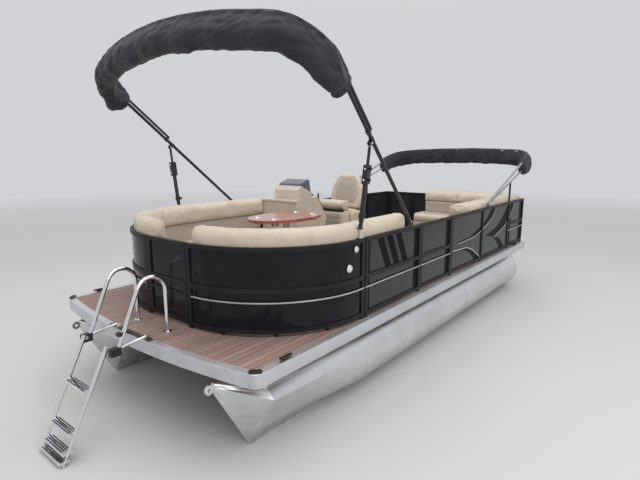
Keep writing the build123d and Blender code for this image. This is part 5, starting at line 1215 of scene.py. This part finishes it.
# %% Bands, stripes and swooshes
# Every edge is a line of points (station, height)
BANDS = [band(*ends) for ends in ((1.32, 1.43), (2.23, 2.39), (5.22, 5.34), (5.74, 5.95))]
STRIPES = [band(start, start + 0.10, (0.378, 0.655), 0.145) for start in (1.545, 1.70, 1.86)]
SWOOSH_UPPER = ((4.41, 0.64), (4.31, 0.55), (4.14, 0.48), (3.94, 0.42), (3.69, 0.37), (3.34, 0.36))
SWOOSH_LOWER = ((4.64, 0.66), (4.52, 0.55), (4.30, 0.46), (4.04, 0.39), (3.82, 0.355), (3.34, 0.34))
swoosh_1 = (smooth_line(SWOOSH_UPPER), smooth_line(SWOOSH_LOWER))
swoosh_2 = (smooth_line(((5.18, 0.66), (5.02, 0.55), (4.85, 0.44), (4.62, 0.36), (4.27, 0.31))),
            smooth_line(((5.47, 0.66), (5.34, 0.51), (5.13, 0.38), (4.88, 0.31), (4.61, 0.25))))
hook = (smooth_line(((4.61, 0.25), (4.84, 0.20), (5.03, 0.08), (5.14, -0.03))),
        smooth_line(((4.58, 0.24), (4.71, 0.18), (4.83, 0.08), (4.92, -0.02))))
ARCH_OUTER = ((3.16, 0.268), (3.35, 0.258), (3.48, 0.25), (3.64, 0.24), (3.85, 0.17), (4.05, 0.07),
              (4.2, -0.02))
ARCH_INNER = ((3.16, 0.262), (3.35, 0.250), (3.48, 0.236), (3.62, 0.21), (3.75, 0.15), (3.86, 0.08),
              (3.95, -0.01))
arch = (smooth_line(ARCH_OUTER), smooth_line(ARCH_INNER))
# A light grey film: a painted highlight on the edges of the swooshes and the arch, and on the rails partly
# bright trim, partly painted highlight
highlight_and_trim_film = coat("highlight_and_trim_film", (0.34, 0.35, 0.36), (0.46, 0.47, 0.48), 0.24, 0.02, 0.4)
curves = between(*swoosh_1) + between(*swoosh_2) + between(*hook) + between(*arch)
# Thin light strips along the lower edges of the swooshes and the outer edge of the arch: painted highlights
# of the bent rails
edges = beside(swoosh_1[1], 0.010) + beside(swoosh_2[1], 0.010) + beside(arch[0], 0.012)
film("black_bands", "hull", band_black, BANDS + STRIPES, SPANS, (1, -1))
film("black_curves", "hull", band_black, curves, SPANS, (1, -1), FILM * 1.5)
film("painted_highlight_edges", "hull", highlight_and_trim_film, edges, SPANS, (1, -1), FILM * 2.2)
film("gate_band", "side_gate", band_black, [band(*GATE_BAND)], (GATE_SPAN,), (1,))
film("filler_band", "hull", band_black, [band(*GATE_BAND)], (FILLER_SPAN,), (-1,))


# %% Bright lines on the rails: partly trim, partly painted highlight
RAIL_FACE = 1.2451
RAIL_STRIP = np.array(((0.0, 0.259), (0.0012, 0.2592), (0.0012, 0.2708), (0.0, 0.271)))


def rail_line(name, body, frames):
    """A thin bright strip on the lower middle rail's face, along frames that lie on that face: partly trim,
    partly painted highlight.
    """
    rings = [place + out * RAIL_STRIP[:, :1] + np.array((0, 0, 1.0)) * RAIL_STRIP[:, 1:]
             for place, out in frames]
    piece = skin(name, rings, (rings[0].mean(axis=0), rings[-1].mean(axis=0)), (highlight_and_trim_film,))
    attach(piece, body)


# Bright strips on the lower middle rails, partly trim and partly painted highlight
for word, side in (("port", 1), ("starboard", -1)):
    rail_line(f"silver_line_bow_{word}", "hull", lounge_path(side, RAIL_FACE - GATE_HALF, 1.334, step=0.04))
    runs = [("front", 1.352, 2.356), ("rear", 5.184, 5.928)]
    runs += [("gate", 2.367, 3.108)] if side == 1 else [("middle", 2.375, 3.100)]
    for part, start, end in runs:
        rail_line(f"silver_line_{part}_{word}", "side_gate" if part == "gate" else "hull",
                  straight_path((start, side * RAIL_FACE), (end, side * RAIL_FACE), (0, side), 0.2))

# %% [markdown]
# ## Small hard parts
# The rest are small turned and square parts: cup liners, light rims, bolts, latches, treads and gauges. They
# are gathered into one mesh for each body and finish, with sharp edges kept sharp.

# %% Small shapes
SHARP = math.radians(32)


class Bits:
    """Small closed shapes that are gathered into one mesh."""

    def __init__(self):
        self.mesh = bmesh.new()

    def matrix(self, place, axis, side=None):
        """A placement whose Z runs along an axis and whose X is near a side direction."""
        z = Vector(axis).normalized()
        x = Vector(side) if side is not None else z.orthogonal()
        x = (x - z * x.dot(z)).normalized()
        turn = Matrix((x, z.cross(x), z)).transposed().to_4x4()
        return Matrix.Translation(Vector(place)) @ turn

    def turned(self, place, axis, profile, count=24):
        """Points (radius, along) turned round an axis, whose ends lie on it or join each other."""
        matrix = self.matrix(place, axis)
        rings = []
        for radius, along in profile:
            number = count if radius > 0 else 1
            angles = [2 * math.pi * i / number for i in range(number)]
            places = [Vector((radius * math.cos(a), radius * math.sin(a), along)) for a in angles]
            rings.append([self.mesh.verts.new(matrix @ place) for place in places])
        pairs = list(zip(rings, rings[1:]))
        if profile[0][0] > 0:
            pairs.append((rings[-1], rings[0]))
        for low, high in pairs:
            for i in range(count):
                corners = [low[i % len(low)], low[(i + 1) % len(low)],
                           high[(i + 1) % len(high)], high[i % len(high)]]
                self.mesh.faces.new(list(dict.fromkeys(corners)))

    def block(self, place, size, axis=(0, 0, 1), side=(1, 0, 0), edge=0.0015):
        """A box with its edges rounded off."""
        placed = self.matrix(place, axis, side) @ Matrix.Diagonal((*size, 1))
        made = bmesh.ops.create_cube(self.mesh, size=1, matrix=placed)
        edges = list({edge for corner in made["verts"] for edge in corner.link_edges})
        bmesh.ops.bevel(self.mesh, geom=edges, offset=edge, segments=2, affect="EDGES", profile=0.6)

    def piece(self, name, body, slot, finish):
        bmesh.ops.recalc_face_normals(self.mesh, faces=self.mesh.faces)
        mesh = bpy.data.meshes.new(name)
        self.mesh.to_mesh(mesh)
        self.mesh.free()
        mesh.polygons.foreach_set("use_smooth", [True] * len(mesh.polygons))
        mesh.set_sharp_from_angle(angle=SHARP)
        mesh.materials.append(finish.material)
        made = bpy.data.objects.new(name, mesh)
        bpy.context.collection.objects.link(made)
        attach(made, body)


def bolt(radius, height):
    """The profile of a domed bolt head on a washer."""
    return ((0, -0.001), (radius * 1.5, -0.001), (radius * 1.5, height * 0.22), (radius, height * 0.26),
            (radius, height * 0.75), (radius * 0.7, height), (0, height))


# %% [markdown]
# ### Table, lights and gauges
# The cup holders have metal liners with a rolled rim, and their cups show under the table. The docking
# lights have a bright rim and a domed lens. Three dials with plain ticks face the driver.

# %% Cup holders
LINER = ((0, -0.0590), (0.0412, -0.0590), (0.0415, 0.0004), (0.0474, 0.0004), (0.0478, 0.0014),
         (0.0462, 0.0026), (0.0412, 0.0022), (0.0403, 0.0005), (0.0400, -0.0578), (0, -0.0578))
SLEEVE = ((0, -0.0622), (0.0446, -0.0622), (0.0446, -0.0282), (0.0456, -0.0282), (0.0458, -0.0624),
          (0.0438, -0.0636), (0, -0.0636))
table_low, table_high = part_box("table_top")
table_middle = (table_low + table_high) / 2
cups = Bits()
for dx in (0.300, -0.300):
    for dy in (0.120, -0.120):
        for profile in (LINER, SLEEVE):
            cups.turned((table_middle.x + dx, table_middle.y + dy, table_high.z), (0, 0, 1), profile, 32)
cups.piece("table_cup_liners", "table", "pedestal_metal", steel)
plate = Bits()
plate.block((table_middle.x, table_middle.y, table_high.z - 0.0385), (0.23, 0.15, 0.018), edge=0.004)
plate.piece("table_mount_plate", "hull", "black_plastic", black_plastic)

# %% Docking lights
# Lights: station, height, radius
LIGHTS = ((1.127, 0.466, 0.026), (1.210, 0.610, 0.020))
LIGHT_FACE = 0.978
lens_white = coat("ribbed_lens", (0.62, 0.65, 0.68), (0.74, 0.76, 0.78), 0.08, 0.05, 0.6)
rims, lenses = Bits(), Bits()
for side in (1, -1):
    for station, height, r in LIGHTS:
        turn = math.acos((CURVE_STATION - station) / LIGHT_FACE)
        out = Vector((math.cos(turn), side * math.sin(turn), 0))
        place = Vector((bow_x - CURVE_STATION, side * GATE_HALF, deck_z + height)) + out * LIGHT_FACE
        rims.turned(place, out, (
            (r + 0.0004, -0.013), (r + 0.006, -0.013), (r + 0.0065, -0.001), (r + 0.003, 0.003),
            (r - 0.003, 0.0028), (r - 0.0036, 0.0003), (r + 0.0004, 0.0003)))
        lenses.turned(place, out, ((0, 0.0004), (r - 0.0034, 0.0004), (r - 0.0042, 0.0020), (r * 0.6, 0.0032),
                                   (r * 0.55, 0.0026), (r * 0.3, 0.0040), (0, 0.0044)))
rims.piece("light_rims", "hull", "ladder_steel", steel)
lenses.piece("light_lenses", "hull", "ladder_steel", lens_white)

# %% Gauges
POD_AFT = (2.7285, 0.963)
POD_Y = -0.6775
pod_out = Vector((-0.9815, 0, 0.1905))
pod_up = Vector((0.1905, 0, 0.9815))
dial_rims, dials, marks = Bits(), Bits(), Bits()
for dy, r in ((-0.108, 0.042), (0, 0.050), (0.108, 0.042)):
    place = at(POD_AFT[0], POD_Y + dy, POD_AFT[1])
    dial_rims.turned(place, pod_out, (
        (r, -0.001), (r + 0.005, -0.001), (r + 0.005, 0.004), (r + 0.002, 0.006), (r, 0.004)), 32)
    dials.turned(place, pod_out, ((0, -0.001), (r + 0.0005, -0.001), (r + 0.0005, 0.0016), (0, 0.0016)), 32)
    for tick in range(11):
        turn = math.radians(-135 + 27 * tick)
        way = pod_up * math.cos(turn) + Vector((0, 1, 0)) * math.sin(turn)
        marks.block(place + pod_out * 0.0018 + way * r * 0.82, (0.0016, r * 0.16, 0.0006), pod_out,
                    pod_out.cross(way), 0.0001)
    needle = pod_up * 0.7 + Vector((0, 1, 0)) * 0.5
    marks.block(place + pod_out * 0.003 + needle * r * 0.3, (0.0018, r * 0.7, 0.0008), pod_out,
                pod_out.cross(needle), 0.0001)
dial_rims.piece("dial_rims", "hull", "ladder_steel", steel)
dials.piece("dial_faces", "hull", "pod_dark", black_plastic)
marks.piece("dial_marks", "hull", "pod_dark", lens_white)

# %% Dash switches
DASH_TOP = Vector((2.827, 0, 0.840))
DASH_FOOT = Vector((3.033, 0, 0.548))
dash_way = (DASH_FOOT - DASH_TOP).normalized()
dash_down = Vector((-dash_way.x, 0, dash_way.z))
dash_out = Vector((-0.8171, 0, 0.5765))
switches, rockers = Bits(), Bits()
panel_middle = DASH_TOP + dash_way * 0.11
panel_place = at(panel_middle.x, -0.985, panel_middle.z)
switches.block(panel_place + dash_out * 0.003, (0.105, 0.13, 0.008), dash_out, (0, 1, 0), 0.002)
for row in range(2):
    for column in range(3):
        place = panel_place + dash_out * 0.009 + Vector((0, (column - 1) * 0.032, 0))
        place += dash_down * (row - 0.5) * 0.055
        rockers.block(place, (0.018, 0.034, 0.006), dash_out, (0, 1, 0), 0.002)
switches.piece("dash_switch_plate", "hull", "black_plastic", black_plastic)
rockers.piece("dash_rockers", "hull", "black_plastic", soft_black)

# %% [markdown]
# ### Struts, jaws and mounts
# Each strut has a clamp block with two knobs and a collar low down, and stands on a bright post and plate.

# %% Strut clamps
JAW_REACH = 1.120
JAW_DROP = 0.038
STRUT_STATION = 1.284
STRUT_FOOT = 0.800
STRUT_TOP = 0.482
COLLAR = 0.075
aft = Vector((-1, 0, 0))


def jaw_place(side):
    """The middle of the jaw that holds the strut's upper eye, on the front bow's leg."""
    lean, splay = math.radians(FRONT_LEAN), math.radians(LEG_SPLAY)
    leg = Vector((math.cos(lean) * math.cos(splay), side * math.sin(splay), math.sin(lean) * math.cos(splay)))
    under = Vector((math.sin(lean), 0, -math.cos(lean)))
    return at(FRONT_PIVOT, side * BIMINI_Y, PIVOT_HEIGHT) + leg * JAW_REACH + under * JAW_DROP


for word, side in (("port", 1), ("starboard", -1)):
    foot = at(STRUT_STATION, side * BIMINI_Y, STRUT_FOOT)
    up = (jaw_place(side) - foot).normalized()
    black, bright = Bits(), Bits()
    for drop in (0.030, 0.118):
        for way in (aft, -aft):
            bright.turned(foot + up * (STRUT_TOP - drop) + way * 0.030, way, bolt(0.006, 0.010), 12)
        black.turned(foot + up * (STRUT_TOP - drop) + Vector((0, side * 0.022, 0)), (0, side, 0),
                     ((0, -0.001), (0.011, -0.001), (0.013, 0.016), (0.011, 0.020), (0, 0.021)), 8)
    collar = foot + up * COLLAR
    black.turned(collar, up, ((0.0204, -0.020), (0.0260, -0.018), (0.0265, 0.018), (0.0204, 0.020)))
    black.block(collar + aft * 0.034, (0.030, 0.020, 0.026), up, aft)
    bright.turned(collar + aft * 0.049, aft, bolt(0.005, 0.008), 12)
    black.piece(f"strut_clamps_{word}", f"strut_tube_{word}", "black_plastic", black_plastic)
    bright.piece(f"strut_bolts_{word}", f"strut_tube_{word}", "ladder_steel", steel)

# %% Jaw bolts, posts and mounts
jaw_bolts = Bits()
posts = Bits()
for side in (1, -1):
    for way in (1, -1):
        jaw_bolts.turned(jaw_place(side) + Vector((0, way * 0.0180, 0)), (0, way, 0), bolt(0.006, 0.008), 12)
    posts.turned(at(STRUT_STATION, side * BIMINI_Y, 0.7005), (0, 0, 1),
                 ((0.0092, 0), (0.0112, 0), (0.0112, 0.060), (0.0092, 0.060)), 20)
    posts.block(at(STRUT_STATION, side * BIMINI_Y, 0.6965), (0.070, 0.0295, 0.006))
    for station in (1.262, 1.306):
        posts.turned(at(station, side * BIMINI_Y, 0.6990), (0, 0, 1), bolt(0.0035, 0.004), 12)
    for station in (FRONT_PIVOT, REAR_PIVOT):
        for shift in (-0.0235, 0.0235):
            posts.turned(at(station + shift, side * BIMINI_Y, 0.6950), (0, 0, 1), bolt(0.0035, 0.004), 12)
        for way in (1, -1):
            posts.turned(at(station, side * BIMINI_Y + way * 0.0120, PIVOT_HEIGHT), (0, way, 0),
                         bolt(0.006, 0.007), 12)
jaw_bolts.piece("jaw_bolts", "front_bimini", "ladder_steel", steel)
posts.piece("mount_hardware", "hull", "ladder_steel", steel)

# %% [markdown]
# ### Ladder, deck and gates
# The ladder's steps carry black rubber ribs. Screws hold the edge trim, rivets the rails, and each gate
# has a latch.

# %% Ladder treads
LADDER_LEAN = math.radians(26)
LADDER_STEPS = (0.296, 0.586, 0.712, 0.773)
ladder_head = at(-0.318 - 0.029, 0, -0.008)
ladder_down = Vector((math.sin(LADDER_LEAN), 0, -math.cos(LADDER_LEAN)))
for number, step in enumerate(LADDER_STEPS, start=1):
    ribs = Bits()
    for shift in (-0.024, -0.008, 0.008, 0.024):
        ribs.block(ladder_head + ladder_down * step + Vector((shift, 0, 0.0115)), (0.008, 0.26, 0.004))
    ribs.piece(f"ladder_tread_{number}", f"ladder_{number}", "black_plastic", soft_black)

# %% Screws and rivets
TRIM_SCREWS = 12
RIVET_HEIGHTS = (0.038, 0.671)
trim_lines, trim_ways = [], []
rail_lines, rail_ways = [], []
for side in (1, -1):
    stations = np.linspace(0.45, 5.88, TRIM_SCREWS)
    trim_lines.append(([at(station, side * 1.283, 0.0022) for station in stations], False))
    trim_ways += [(0, 0, 1)] * TRIM_SCREWS
    spans = ((1.375, 2.335), (3.14, 5.91)) if side == 1 else ((1.375, 5.91),)
    for start, end in spans:
        for height in RIVET_HEIGHTS:
            rail_lines.append(([at(station, side * RAIL_FACE, height) for station in (start, end)], False))
            rail_ways += [(0, side, 0)] * 2
    for height in RIVET_HEIGHTS:
        frames = lounge_path(side, RAIL_FACE - GATE_HALF, 1.32, step=0.06)
        rail_lines.append(([place + np.array((0, 0, height)) for place, out in frames], False))
        rail_ways += [tuple(out) for place, out in frames]
studs.along_lines("trim_screws", "hull", "ladder_steel", trim_lines, trim_ways, Pitch=0.30, Radius=0.0055,
                  Height=0.0026, Material=steel.material)
studs.along_lines("rail_rivets", "hull", "fence_black", rail_lines, rail_ways, Pitch=0.235, Radius=0.0042,
                  Height=0.0022, Material=rail_black.material)

# %% Latches
# Latches: body, station, y, height, thin direction
LATCHES = (
    ("bow_gate", 0.3255, 0.228, 0.60, (1, 0, 0)),
    ("side_gate", 3.080, 1.2045, 0.60, (0, 1, 0)),
    ("stern_gate", 5.8895, -0.735, 0.60, (1, 0, 0)),
)
for body, station, y, height, thin in LATCHES:
    latch = Bits()
    latch.block(at(station, y, height), (0.030, 0.062, 0.017), thin, (0, 0, 1), 0.003)
    latch.turned(at(station, y, height) - Vector(thin) * 0.0085, -Vector(thin), bolt(0.010, 0.016), 16)
    latch.piece(f"{body}_latch", body, "black_plastic", black_plastic)

# %% [markdown]
# ### Chair brackets and the pads by the ladder
# Brackets join the chair's wings, seat and roll to its slide, and black pads sit beside the ladder.

# %% Brackets and pads
slide_low, slide_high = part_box("chair_slide")
rise = (slide_low.z + slide_high.z) / 2
wing_foot = deck_z + 0.435
brackets = Bits()
for side in (1, -1):
    inner = CHAIR_Y + side * 0.1503
    outer = CHAIR_Y + side * 0.295
    brackets.block((bow_x - WING_STATION, (inner + outer) / 2, rise), (0.05, abs(outer - inner), 0.030))
    brackets.block((bow_x - WING_STATION, CHAIR_Y + side * 0.2765, (rise + wing_foot) / 2),
                   (0.05, 0.037, wing_foot - rise + 0.03))
    brackets.block(at(3.598, CHAIR_Y + side * 0.272, 0.575), (0.085, 0.030, 0.075))
brackets.block(at(3.330, CHAIR_Y, 0.606), (0.135, 0.470, 0.014))
brackets.piece("chair_brackets", "chair", "black_plastic", black_plastic)
pads = Bits()
for side in (1, -1):
    pads.block(at(-0.062, side * 0.262, 0.0065), (0.046, 0.040, 0.010))
pads.block(at(-0.262, 0.213, 0.098), (0.034, 0.046, 0.022), (0.40, 0, 0.92), (1, 0, 0), 0.004)
pads.piece("ladder_pads", "hull", "black_plastic", black_plastic)
